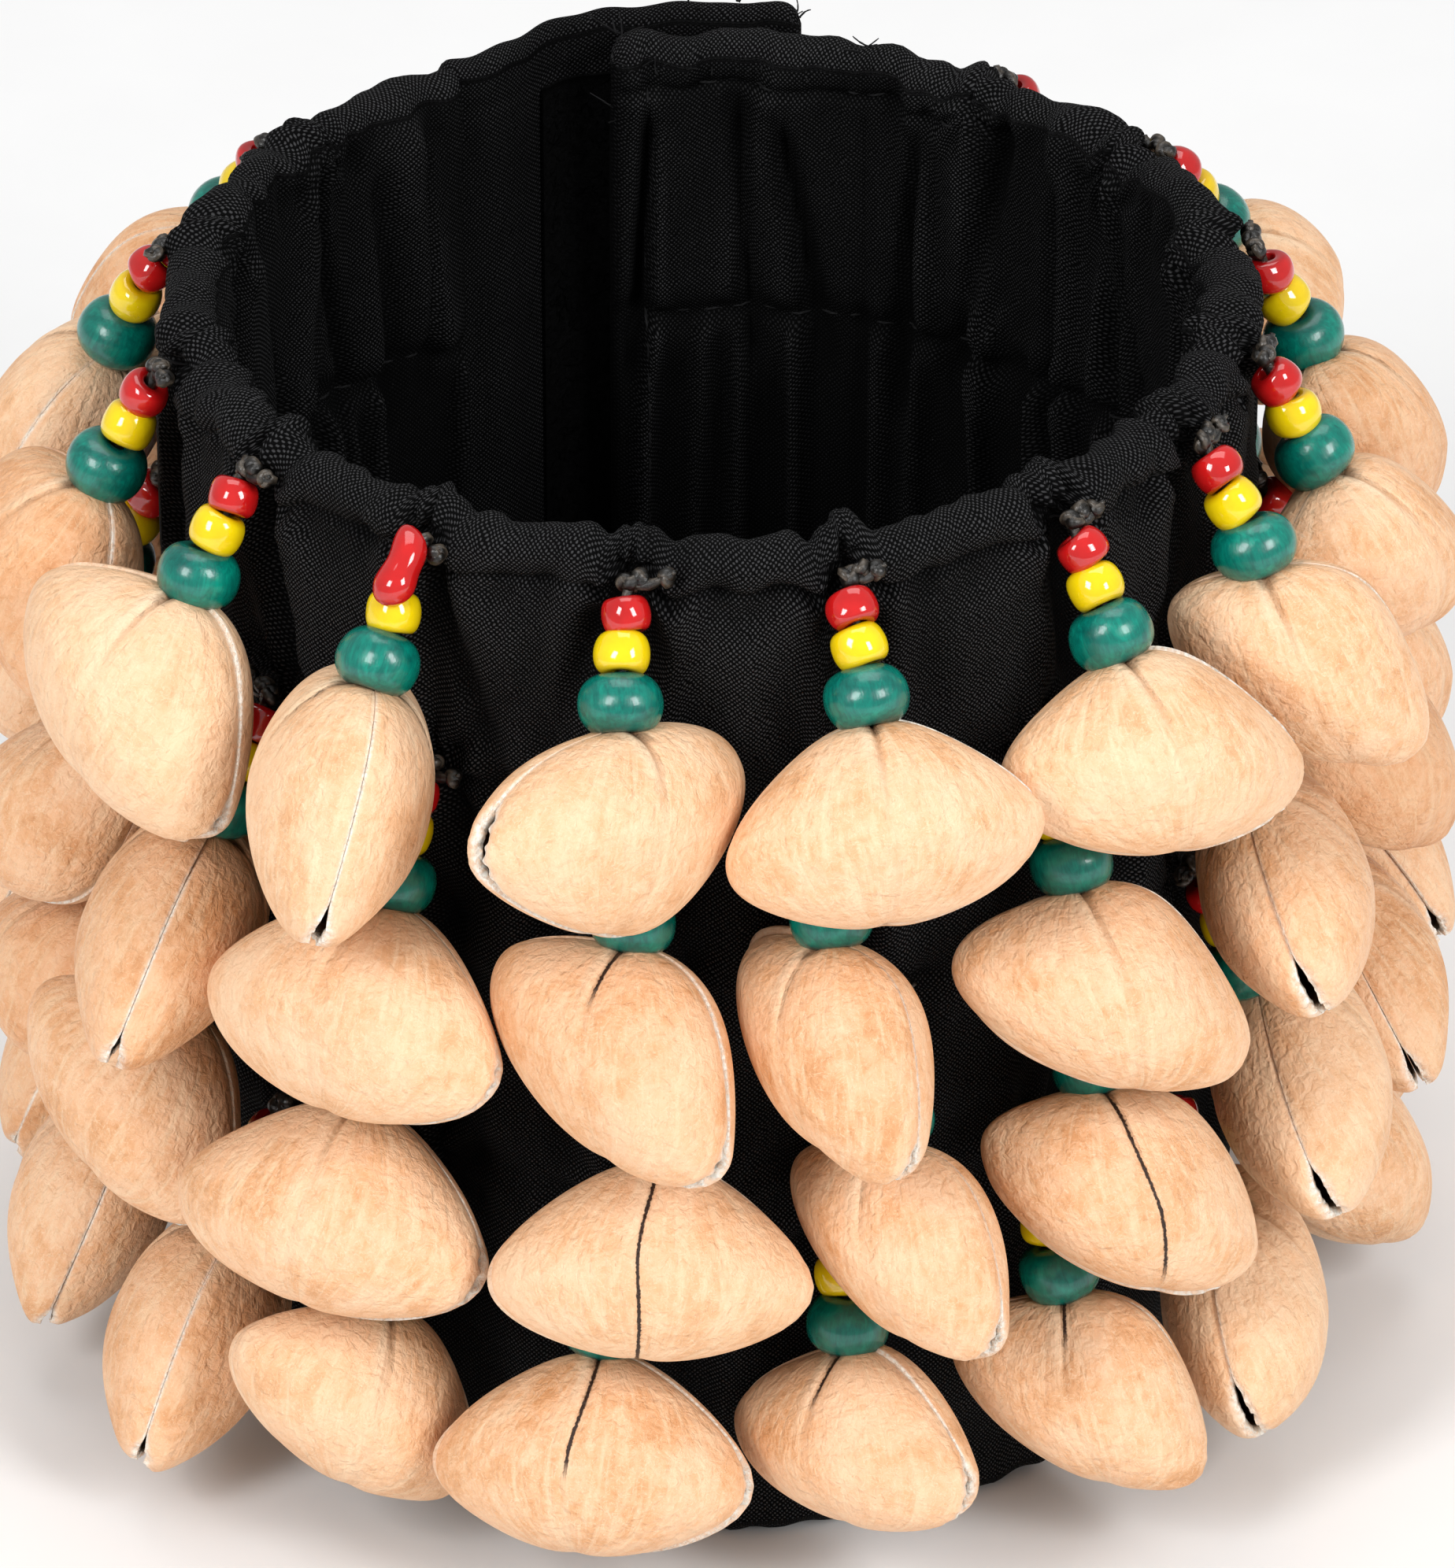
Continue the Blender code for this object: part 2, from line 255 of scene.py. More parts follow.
def smooth(value):
    """An even rise from 0 to 1, flat at both ends."""
    value = np.clip(value, 0.0, 1.0)
    return value * value * (3 - 2 * value)


def bell(value, width):
    return np.exp(-((value / width) ** 2))


def wobble(points, seed, size, waves):
    """Smooth seeded noise, about -1 to 1, with features of this size."""
    random = np.random.default_rng(seed)
    total = np.zeros(len(points))
    for _ in range(waves):
        direction = random.normal(size=points.shape[1])
        direction *= TURN / size * random.uniform(0.6, 1.4) / np.linalg.norm(direction)
        total += np.sin(points @ direction + random.uniform(0, TURN))
    return total / math.sqrt(waves)


def line_wobble(s, seed, size, waves):
    """Noise by place along the cloth alone."""
    return wobble(np.stack([s, s * 0.0], 1), seed, size, waves)


def cloth_wobble(s, z, seed, size, waves):
    """Noise by place on the cloth."""
    return wobble(np.stack([s, z], -1).reshape(-1, 2), seed, size, waves).reshape(s.shape)


def wrap(angle):
    """The same angle between minus and plus half a turn, in radians."""
    return (angle + math.pi) % TURN - math.pi


def running_sum(fine, centres, turning=False):
    """A sum that climbs along fine, faster near each (centre, spread, weight)."""
    density = np.ones_like(fine)
    for centre, spread, weight in centres:
        density += weight * bell(wrap(fine - centre) if turning else fine - centre, spread)
    return np.concatenate([[0], np.cumsum((density[1:] + density[:-1]) / 2)])


def uneven_angles(count, centres):
    """Angles of a full turn, closer together near each (centre, spread, weight)."""
    fine = np.linspace(0, TURN, 2401)
    running = running_sum(fine, centres, turning=True)
    return np.interp(np.arange(count) * running[-1] / count, running, fine)


def uneven_steps(low, high, count, centres):
    """Steps from low to high, closer together near each (centre, spread, weight)."""
    fine = np.linspace(low, high, 3001)
    running = running_sum(fine, centres)
    return np.interp(np.linspace(0, running[-1], count), running, fine)


def tube(path, radius, sides=8, plies=2, lay=2.2, closed=False):
    """A twisted cord along a path: points, faces, and (turn of the ply, length, 0) values."""
    path = np.asarray(path, float)
    count = len(path)
    if closed:
        tangent = np.roll(path, -1, 0) - np.roll(path, 1, 0)
    else:
        tangent = np.gradient(path, axis=0)
    tangent /= np.linalg.norm(tangent, axis=1, keepdims=True)
    normal = np.zeros_like(path)
    start = np.cross(tangent[0], (0.31, 0.85, 0.42))
    normal[0] = start / np.linalg.norm(start)
    for i in range(1, count):
        carried = normal[i - 1] - tangent[i] * (normal[i - 1] @ tangent[i])
        normal[i] = carried / np.linalg.norm(carried)
    other = np.cross(tangent, normal)
    steps = np.linalg.norm(np.diff(path, axis=0, prepend=path[:1]), axis=1)
    length = np.cumsum(steps)
    angles = np.arange(sides) * TURN / sides
    radii = np.broadcast_to(np.asarray(radius, float), (count,))[:, None]
    ply = plies * (angles[None, :] - TURN / plies * length[:, None] / lay)
    thick = radii * (1 + 0.17 * np.cos(ply))
    cosine, sine = np.cos(angles)[None, :, None], np.sin(angles)[None, :, None]
    ring = cosine * normal[:, None, :] + sine * other[:, None, :]
    points = (path[:, None, :] + ring * thick[..., None]).reshape(-1, 3)
    faces = grid_faces(count, sides, closed_rows=closed, closed_columns=True).tolist()
    if not closed:
        faces += caps(count, sides)
    return points, [face[::-1] for face in faces], triples(np.cos(ply), length[:, None], 0.0)


def knot_path(size, seed, count=64):
    """The closed line of a small overhand knot, turned by a seed."""
    t = np.arange(count) * TURN / count
    path = triples(np.sin(t) + 2 * np.sin(2 * t), np.cos(t) - 2 * np.cos(2 * t), -1.2 * np.sin(3 * t))
    random = np.random.default_rng(seed)
    turn = np.array(Euler(random.uniform(0, TURN, 3)).to_matrix())
    return path @ turn.T * size / 6.0


# ---- material helpers


class Shader:
    """A node material: its methods add nodes and return the output socket of the last one."""

    def __init__(self, name, view_colour):
        self.material = bpy.data.materials.new(name)
        self.material.use_nodes = True
        self.material.diffuse_color = (*view_colour, 1.0)
        self.tree = self.material.node_tree
        self.main = self.tree.nodes["Principled BSDF"]

    def put(self, socket, value):
        if isinstance(value, bpy.types.NodeSocket):
            self.tree.links.new(value, socket)
        elif isinstance(value, tuple) and len(value) == 3 and socket.type == "RGBA":
            socket.default_value = (*value, 1.0)
        else:
            socket.default_value = value

    def add(self, kind, inputs, output=0, **settings):
        node = self.tree.nodes.new(kind)
        for key, value in settings.items():
            setattr(node, key, value)
        for key, value in inputs.items():
            self.put(node.inputs[key], value)
        return node.outputs[output]

    def attribute(self, name):
        return self.add("ShaderNodeAttribute", {}, "Vector", attribute_name=name)

    def split(self, vector):
        node = self.tree.nodes.new("ShaderNodeSeparateXYZ")
        self.put(node.inputs[0], vector)
        return node.outputs[0], node.outputs[1], node.outputs[2]

    def math(self, operation, a, b=0.0, c=0.5, clamp=False):
        return self.add("ShaderNodeMath", {0: a, 1: b, 2: c}, operation=operation, use_clamp=clamp)

    def times(self, a, b, clamp=False):
        return self.math("MULTIPLY", a, b, clamp=clamp)

    def plus(self, a, b):
        return self.math("ADD", a, b)

    def noise(self, vector, scale, detail, roughness=0.55, distortion=0.0):
        inputs = {"Vector": vector, "Scale": scale, "Detail": detail}
        inputs |= {"Roughness": roughness, "Distortion": distortion}
        return self.add("ShaderNodeTexNoise", inputs, "Fac")

    def wander(self, vector, scale, detail, amount):
        """Noise about zero, for a line that isn't quite straight."""
        return self.times(self.math("SUBTRACT", self.noise(vector, scale, detail), 0.5), amount)

    def stretch(self, vector, scale):
        return self.add("ShaderNodeVectorMath", {0: vector, 1: scale}, operation="MULTIPLY")

    def ramp(self, factor, *stops):
        """A value or colour ramp; each stop is (position, value or colour)."""
        node = self.tree.nodes.new("ShaderNodeValToRGB")
        elements = node.color_ramp.elements
        while len(elements) < len(stops):
            elements.new(0.5)
        for element, (position, value) in zip(elements, stops):
            element.position = position
            element.color = (*value, 1.0) if isinstance(value, tuple) else (value, value, value, 1.0)
        self.put(node.inputs[0], factor)
        return node.outputs[0]

    def mix(self, factor, a, b, blend="MIX"):
        node = self.tree.nodes.new("ShaderNodeMix")
        node.data_type = "RGBA"
        node.blend_type = blend
        self.put(node.inputs[0], factor)
        self.put(node.inputs[6], a)
        self.put(node.inputs[7], b)
        return node.outputs[2]

    def lay(self, colour, mask, stops, tone):
        """A tone over a colour, as far as the ramp of a mask lets it show."""
        return self.mix(self.ramp(mask, *stops), colour, tone)

    def bump(self, height, distance, strength=1.0, normal=None):
        inputs = {"Height": height, "Distance": distance, "Strength": strength}
        if normal is not None:
            inputs["Normal"] = normal
        return self.add("ShaderNodeBump", inputs)

    def finish(self, **inputs):
        for key, value in inputs.items():
            self.put(self.main.inputs[key.replace("_", " ")], value)
        return self.material


# ---- materials


def nutshell_material():
    """Dull tan shell: orange mottling, pale fibres fanning from the crown, specks, and white broken edges."""
    s = Shader("nutshell", (0.80, 0.60, 0.38))
    grain = s.attribute("grain")
    fan = s.attribute("fan")
    across, drop, crack = s.split(s.attribute("mark"))
    edge, inside, tint = s.split(s.attribute("wear"))
    clouds = s.noise(grain, 0.16, 3.0, 0.55)
    mottle = s.noise(grain, 0.62, 6.0, 0.68, 0.6)
    fleck = s.noise(grain, 2.9, 5.0, 0.7)
    fibre = s.noise(fan, 1.0, 5.0, 0.62, 0.4)
    thread = s.noise(fan, 2.3, 3.0, 0.6, 1.2)
    vein = s.noise(grain, 1.05, 2.0, 0.5, 1.8)
    tone = s.plus(s.times(clouds, 0.55), s.times(mottle, 0.45))
    colour = s.ramp(
        tone,
        (0.36, (0.690, 0.335, 0.145)),
        (0.45, (0.800, 0.435, 0.222)),
        (0.52, (0.860, 0.510, 0.295)),
        (0.62, (0.890, 0.575, 0.360)),
    )
    for mask, stops, top_tone in (
        (fibre, ((0.48, 0.0), (0.66, 0.65)), (0.910, 0.650, 0.420)),
        (thread, ((0.56, 0.0), (0.72, 0.35)), (0.710, 0.385, 0.185)),
        (vein, ((0.475, 0.0), (0.50, 0.50), (0.525, 0.0)), (0.930, 0.710, 0.490)),
        (fleck, ((0.58, 0.0), (0.70, 0.45)), (0.660, 0.345, 0.155)),
    ):
        colour = s.lay(colour, mask, stops, top_tone)
    brown = s.times(tint, 0.55, clamp=True)
    pale = s.times(tint, -0.45, clamp=True)
    colour = s.mix(brown, colour, s.mix(1.0, colour, (0.80, 0.62, 0.46), "MULTIPLY"))
    colour = s.mix(pale, colour, (0.915, 0.660, 0.430))
    # the crease: a pale ridge on one side, a thin brown line painted in the cleft as its shade, and the
    # hairline crack
    line = s.math("ABSOLUTE", s.plus(across, s.wander(grain, 1.3, 3.0, 0.35)))
    cleft_fade = s.ramp(s.math("DIVIDE", drop, 7.0), (0.0, 1.0), (0.35, 0.75), (1.0, 0.12))
    ridge = s.ramp(s.math("ABSOLUTE", s.plus(across, 0.75)), (0.0, 0.45), (0.45, 0.25), (0.9, 0.0))
    colour = s.mix(s.times(ridge, cleft_fade), colour, (0.930, 0.770, 0.560))
    cleft = s.times(s.ramp(line, (0.0, 1.0), (0.16, 0.75), (0.34, 0.0)), cleft_fade)
    # painted shade: the cleft is darkened to brown along the crease, fading down from the crown
    colour = s.mix(s.times(cleft, 0.60), colour, (0.360, 0.180, 0.085))
    hair = s.math("ABSOLUTE", s.plus(across, s.wander(grain, 3.2, 2.0, 0.3)))
    reach = s.math("SUBTRACT", s.times(crack, CRACK_RUN), drop)
    split = s.ramp(hair, (0.0, 1.0), (0.09, 1.0), (0.16, 0.0))
    split = s.times(split, s.times(reach, 0.6, clamp=True))
    colour = s.mix(split, colour, (0.030, 0.012, 0.006))
    # painted shade: a dark patch at the top of the crease, where the cord goes in, stands for the shade in
    # the hole and under the bead
    hole = s.ramp(s.math("DIVIDE", drop, 2.0), (0.0, 1.0), (0.35, 0.8), (0.6, 0.0))
    hole = s.times(hole, s.ramp(line, (0.0, 1.0), (0.5, 1.0), (0.9, 0.0)))
    colour = s.mix(s.times(hole, 0.60), colour, (0.090, 0.042, 0.020))
    chips = s.ramp(s.noise(grain, 2.4, 4.0, 0.7), (0.40, 0.35), (0.56, 1.0))
    colour = s.mix(s.times(edge, chips, clamp=True), colour, (0.940, 0.890, 0.800))
    colour = s.mix(inside, colour, (0.230, 0.115, 0.055))
    # relief
    deep = s.plus(s.times(cleft, -0.9), s.times(split, -1.2))
    soft = s.bump(s.noise(grain, 1.15, 3.0, 0.5, 0.5), 0.00050, 0.7)
    fine = s.plus(s.times(fibre, 1.10), s.times(fleck, 0.35))
    fine = s.plus(fine, s.times(chips, s.times(edge, 0.8)))
    lines = s.bump(fine, 0.00016, 0.7, soft)
    cut = s.bump(deep, 0.00022, 1.0, lines)
    rough = s.ramp(fleck, (0.3, 0.46), (0.7, 0.62))
    return s.finish(Base_Color=colour, Roughness=rough, Normal=cut, Specular_IOR_Level=0.42)


def glass_material(name, colour, deep):
    """Opaque glossy glass, a little darker towards its ends."""
    s = Shader(name, colour)
    shade = s.noise(s.attribute("grain"), 0.35, 3.0)
    _, _, end = s.split(s.attribute("form"))
    mixed = s.lay(colour, shade, ((0.35, 0.0), (0.7, 0.55)), deep)
    mixed = s.mix(s.times(end, 0.75), mixed, deep)
    swell = s.bump(s.noise(s.attribute("grain"), 0.55, 1.0), 0.0003, 0.35)
    s.finish(Specular_IOR_Level=0.55, Coat_Weight=0.6, Coat_Roughness=0.03)
    return s.finish(Base_Color=mixed, Roughness=0.07, Normal=swell)


def green_wood_material():
    """Wood turned, brushed with green dye and varnished: blotches along the brush strokes, and darker towards
    its ends.
    """
    s = Shader("green_lacquer", (0.01, 0.24, 0.17))
    grain = s.attribute("grain")
    _, _, end = s.split(s.attribute("form"))
    strokes = s.noise(s.stretch(grain, (1.5, 1.5, 0.22)), 1.6, 6.0, 0.65, 0.9)
    blotch = s.noise(grain, 0.42, 4.0, 0.6, 0.8)
    pore = s.noise(s.stretch(grain, (3.0, 3.0, 0.6)), 3.2, 3.0, 0.7)
    tone = s.plus(s.times(strokes, 0.5), s.times(blotch, 0.5))
    colour = s.ramp(
        tone,
        (0.34, (0.0004, 0.090, 0.074)),
        (0.45, (0.0006, 0.140, 0.110)),
        (0.55, (0.0008, 0.200, 0.150)),
        (0.68, (0.0020, 0.300, 0.215)),
    )
    colour = s.lay(colour, pore, ((0.60, 0.0), (0.74, 0.50)), (0.0005, 0.070, 0.062))
    colour = s.mix(s.times(end, 0.6), colour, (0.0015, 0.070, 0.065))
    relief = s.plus(s.times(strokes, 0.7), s.times(pore, -0.35))
    bump = s.bump(relief, 0.00009, 0.45)
    s.finish(Specular_IOR_Level=0.45, Coat_Weight=0.35, Coat_Roughness=0.06)
    return s.finish(Base_Color=colour, Roughness=0.22, Normal=bump)


def weave(s, cloth, pitch):
    """Plain weave from cloth coordinates in millimetres: its height, and how much of a thread's top shows,
    for a painted highlight on each thread's top.
    """
    along, up, _ = s.split(cloth)
    jitter = s.wander(cloth, 0.9, 3.0, 0.5)
    warp = s.math("SINE", s.times(s.plus(along, jitter), math.pi / pitch))
    weft = s.math("SINE", s.times(s.plus(up, jitter), math.pi / pitch))
    height = s.math("MULTIPLY_ADD", s.times(warp, weft), 0.5, 0.5)
    return height, s.ramp(height, (0.55, 0.0), (0.95, 1.0))


def cloth_material():
    """Black plain-woven cotton: thread crowns painted light as highlights over nearly black gaps painted as
    shade, with lint, random fading, and shade painted into the fold creases.
    """
    s = Shader("black_cotton", (0.02, 0.02, 0.022))
    cloth = s.attribute("cloth")
    height, thread_top_highlight = weave(s, cloth, WEAVE_PITCH)
    slub = s.noise(s.stretch(cloth, (3.0, 0.35, 1.0)), 1.0, 3.0)
    cross_slub = s.noise(s.stretch(cloth, (0.35, 3.0, 1.0)), 1.0, 3.0)
    fade = s.noise(cloth, 0.09, 3.0)
    proud, _, _ = s.split(s.attribute("fold"))
    # painted shade: the colour is darkened in the fold creases and lightened on the ridges by the fold share,
    # then mixed with random fading
    crease_shade_and_fade = s.ramp(proud, (0.0, 0.08), (0.5, 0.62), (1.0, 1.35))
    crease_shade_and_fade = s.times(s.ramp(fade, (0.3, 0.65), (0.7, 1.1)), crease_shade_and_fade)
    slub_and_crease_shade = s.times(s.plus(slub, cross_slub), s.times(crease_shade_and_fade, 1.45))
    _, _, layer = s.split(cloth)
    # painted shade: the inner layer's colour is darkened by 0.40 for the shade inside the cuff
    shade = s.math("MULTIPLY_ADD", s.math("GREATER_THAN", layer, INNER_LAYER / 2), -0.40, 1.0)
    # painted highlight on the thread crowns and painted shade in the gaps, times slub, the painted crease
    # shade and the inner layer's painted shade
    painted_thread_light = s.times(s.times(thread_top_highlight, slub_and_crease_shade), shade)
    colour = s.mix(painted_thread_light, (0.0008, 0.0008, 0.0009), (0.050, 0.050, 0.052))
    lint = s.noise(cloth, 1.9, 2.0, 0.5, 2.5)
    colour = s.lay(colour, lint, ((0.76, 0.0), (0.80, 0.5)), (0.11, 0.11, 0.115))
    relief = s.plus(height, s.times(s.noise(cloth, 4.0, 3.0), 0.5))
    crumple = s.bump(s.noise(cloth, 0.35, 3.0, 0.5), 0.0006, 0.25)
    bump = s.bump(relief, 0.00011, 0.9, crumple)
    return s.finish(Base_Color=colour, Roughness=0.85, Normal=bump, Specular_IOR_Level=0.07)


def thread_material():
    """Black sewing thread."""
    s = Shader("black_thread", (0.03, 0.03, 0.032))
    ply = s.attribute("cloth")
    turn, _, _ = s.split(ply)
    # painted light on the plies' crowns and painted shade between them
    lit = s.math("MULTIPLY_ADD", turn, 0.5, 0.5)
    colour = s.mix(lit, (0.003, 0.003, 0.003), (0.016, 0.016, 0.017))
    bump = s.bump(s.noise(ply, 2.5, 3.0), 0.00004, 0.6)
    return s.finish(Base_Color=colour, Roughness=0.8, Normal=bump, Specular_IOR_Level=0.15)


def cord_material():
    """Waxed grey-brown cord: painted light on the plies and painted shade in the valleys between them."""
    s = Shader("waxed_cord", (0.06, 0.05, 0.04))
    ply = s.attribute("cloth")
    turn, _, _ = s.split(ply)
    fuzz = s.noise(s.stretch(ply, (1.0, 3.0, 1.0)), 2.6, 4.0, 0.65)
    lit = s.times(s.plus(s.times(turn, 0.5), 0.5), s.plus(fuzz, 0.35))
    colour = s.ramp(
        lit,
        (0.05, (0.004, 0.0035, 0.003)),
        (0.50, (0.012, 0.0095, 0.007)),
        (0.95, (0.105, 0.083, 0.062)),
    )
    bump = s.bump(s.plus(fuzz, s.times(turn, 0.4)), 0.00008, 0.6)
    return s.finish(Base_Color=colour, Roughness=0.30, Normal=bump, Specular_IOR_Level=0.6)


def fuzz_material(name, low, high, scale):
    """Matt synthetic pile for the hook strip and the loop strip."""
    s = Shader(name, high)
    place = s.attribute("cloth")
    tangle = s.noise(place, scale, 5.0, 0.7, 2.0)
    colour = s.lay(low, tangle, ((0.4, 0.0), (0.7, 1.0)), high)
    bump = s.bump(tangle, 0.0004, 0.8)
    return s.finish(Base_Color=colour, Roughness=0.95, Normal=bump, Specular_IOR_Level=0.05)


def elastic_material():
    """Flat woven elastic: ribs along the tape."""
    s = Shader("elastic_tape", (0.02, 0.02, 0.02))
    place = s.attribute("cloth")
    _, up, _ = s.split(place)
    rib = s.math("SINE", s.times(up, TURN / 0.7))
    height = s.plus(s.times(rib, 0.5), s.noise(place, 2.2, 3.0))
    # painted light and shade: the colour follows the rib height, lighter on the raised ribs and bumps and
    # darker in their hollows
    colour = s.lay((0.010, 0.010, 0.010), height, ((0.2, 0.0), (1.0, 1.0)), (0.035, 0.035, 0.036))
    return s.finish(Base_Color=colour, Roughness=0.8, Normal=s.bump(height, 0.0001, 0.7))


# ---- nutshells


def nut_form(unit, half, seed):
    """Points of the unit sphere moved to the nut: ends set low, a hooded crown and a thin lower edge."""
    x, y, z = unit.T
    ends = 1.0 - 0.16 * x * x
    hood = 1.0 - 0.22 * np.maximum(0.0, z) ** 2
    edge = 1.0 - 0.22 * np.maximum(0.0, -z)
    sag = 0.20 * (1.0 - z * z)
    thin = 1.0 - 0.16 * np.maximum(0.0, x) ** 3 + 0.05 * np.maximum(0.0, -x) ** 2
    form = triples(x * half[0] * hood, y * half[1] * ends * edge * thin, (z * ends - sag) * half[2])
    swell = 0.20 * wobble(unit, seed, 2.6, 5) + 0.07 * wobble(unit, seed + 1, 0.9, 6)
    return form * (1.0 + swell[:, None] / 9.0)


def crown_reach(half, tilt, seed):
    """How far the nut's surface is from its middle, along the strand."""
    turn = tilt + np.linspace(0.7, -0.7, 71)
    points = nut_form(triples(-np.sin(turn), 0.0, np.cos(turn)), half, seed)
    across = points @ (math.cos(tilt), 0.0, math.sin(tilt))
    reach = points @ (-math.sin(tilt), 0.0, math.cos(tilt))
    return float(np.interp(0.0, across, reach))


def crease_place(points, half, tilt, seed):
    """Where points lie about the crease: millimetres across it, and down from the crown."""
    up = np.array((-math.sin(tilt), 0.0, math.cos(tilt)))
    side = np.array((math.cos(tilt), 0.0, math.sin(tilt)))
    drop = crown_reach(half, tilt, seed) - points @ up
    random = np.random.default_rng(seed)
    lean, phase = random.uniform(-0.9, -0.2), random.uniform(0, TURN)
    middle = lean * smooth(drop / 8.0) + 0.18 * np.sin(drop / 2.3 + phase)
    return points @ side - middle, drop


def crease_relief(across, drop, height):
    """How far the surface stands in or out, in millimetres, near the crease that runs from the crown."""
    cleft = -(0.40 * np.exp(-drop / 3.4) + 0.05) * bell(across, 0.21 + 0.035 * np.clip(drop, 0, 12))
    valley = -0.10 * bell(across, 2.2) * np.exp(-drop / 6.5)
    ridge = 0.12 * bell(across + 0.95, 0.55) * np.exp(-drop / 7.0)
    lobe = 0.13 * np.tanh(across / 1.2) * np.exp(-drop / 6.0)
    foot = -0.16 * bell(across, 1.3) * smooth((drop - height * 0.72) / (height * 0.28))
    return cleft + valley + ridge + lobe + foot


def slit_gap(alpha, seed):
    """Half the gap between the two shells round the seam: closed, but for the ragged slit at the +x tip.

    With it comes how open the seam is, from 0 to 1.
    """
    away = wrap(alpha)
    random = np.random.default_rng(seed)
    phases = random.uniform(0, TURN, 4)
    ragged = sum(np.sin(f * away + p) / k for f, p, k in zip((23, 41, 67, 97), phases, (1.4, 2, 3, 4)))
    window = smooth((away + 0.80) / 0.34) * smooth((0.46 - away) / 0.34)
    return SEAM_HALF + SLIT_HALF * window * (1.0 + 0.13 * ragged), window


def half_nut(half, roll, seed, side, look):
    """One half shell: outer face, broken lip and inner face, as (points, faces, attribute arrays)."""
    tilt = math.radians(roll)
    crown = math.pi / 2 + tilt
    alpha = uneven_angles(NUT_AROUND, ((crown, 0.16, 3.5), (crown + math.pi, 0.2, 1.0), (-0.15, 0.4, 1.6)))
    rows = np.arange(1, NUT_OUTER_ROWS + 1) / NUT_OUTER_ROWS
    beta_out = math.pi / 2 * (1 - (1 - rows) ** 1.35)
    beta_in = math.pi / 2 * np.arange(NUT_INNER_ROWS, 0, -1) / NUT_INNER_ROWS
    beta = np.concatenate([[1e-4], beta_out, beta_in, [1e-4]])
    outer = np.concatenate([np.ones(1 + len(beta_out)), np.zeros(len(beta_in) + 1)])
    a, b = np.meshgrid(alpha, beta)
    shell = np.repeat(outer, NUT_AROUND)
    a, b = a.ravel(), b.ravel()
    unit = triples(np.sin(b) * np.cos(a), side * np.cos(b), np.sin(b) * np.sin(a))
    form = nut_form(unit, half, seed)
    out = unit / half
    out /= np.linalg.norm(out, axis=1, keepdims=True)
    across, drop = crease_place(form, half, tilt, seed)
    gap, window = slit_gap(a, seed)
    near_rim = bell(math.pi / 2 - b, 0.09)
    relief = crease_relief(across, drop, 2 * half[2]) - (0.10 + 0.16 * window) * near_rim
    away = wrap(a)
    bite = np.random.default_rng(seed + 5).uniform(-0.35, 0.0)
    relief -= near_rim * (0.55 * bell(away - bite, 0.085) + 0.16 * window * np.sin(31 * away + seed))
    wall = np.where(shell > 0.5, 0.0, SHELL_WALL)
    points = form + out * (relief * shell - wall)[:, None]
    points[:, 1] = side * np.abs(points[:, 1])
    points[:, 1] += side * gap * np.abs(np.sin(b)) ** 6
    at_rim = np.abs(b - math.pi / 2) < 1e-6
    points[at_rim, 1] = side * gap[at_rim]
    faces = grid_faces(len(beta), NUT_AROUND, closed_columns=True).tolist() + caps(len(beta), NUT_AROUND)
    if side > 0:
        faces = [face[::-1] for face in faces]
    polar = np.arctan2(points[:, 1], across)
    offset = np.random.default_rng(seed + 9).uniform(0, 90, 3)
    fan = triples(9.0 * np.cos(polar), 9.0 * np.sin(polar), drop / 4.5) + offset
    tip_line = smooth((math.pi * 0.62 - np.abs(away - 0.3)) / 1.0)
    seam = bell(math.pi / 2 - b, 0.024 + 0.085 * window) * (0.25 + 0.75 * tip_line) * shell
    lip = (1 - shell) * (b > math.pi / 2 - 0.02) * (0.3 + 0.7 * window)
    edge = np.clip(seam + lip, 0, 1)
    inside = (1 - shell) * (b < math.pi / 2 - 0.05)
    mark = triples(across, drop, look["crack"])
    wear = triples(edge, inside, look["tint"])
    return points, faces, {"grain": points + offset * 3, "fan": fan, "mark": mark, "wear": wear}


def make_nut(name, half, roll, yaw, seed, look, material):
    """A nutshell of two halves, hung with its crown on the strand."""
    front = half_nut(half, roll, seed, -1.0, look)
    back = half_nut(half, roll, seed + 20, 1.0, look)
    points = np.concatenate([front[0], back[0]])
    start = len(front[0])
    faces = front[1] + [[i + start for i in face] for face in back[1]]
    values = {key: np.concatenate([front[2][key], back[2][key]]) for key in front[2]}
    tilt = math.radians(roll)
    turn = np.array(Euler((0.0, tilt, math.radians(yaw))).to_matrix())
    points = points @ turn.T - (0.0, 0.0, STRAND_TO_NUT - NUT_LIFT + crown_reach(half, tilt, seed))
    return make_mesh(name, points, faces, material, values)


# ---- beads


def bead_profile(radius, length, hole, barrel):
    """A closed profile: a bulging outside between two small flat ends, and the hole down the middle."""
    widest = math.radians(74)
    swing = np.linspace(widest, -widest, 22)
    outside_r = hole + (radius - hole) * np.cos(swing) ** barrel
    outside_z = length / 2 * np.sin(swing) / math.sin(widest)
    lip = hole + 0.12
    hole_r = np.array((lip, hole, hole, hole, lip))
    hole_z = np.array((-0.5, -0.46, 0.0, 0.46, 0.5)) * length
    return np.concatenate([outside_r, hole_r]), np.concatenate([outside_z, hole_z])


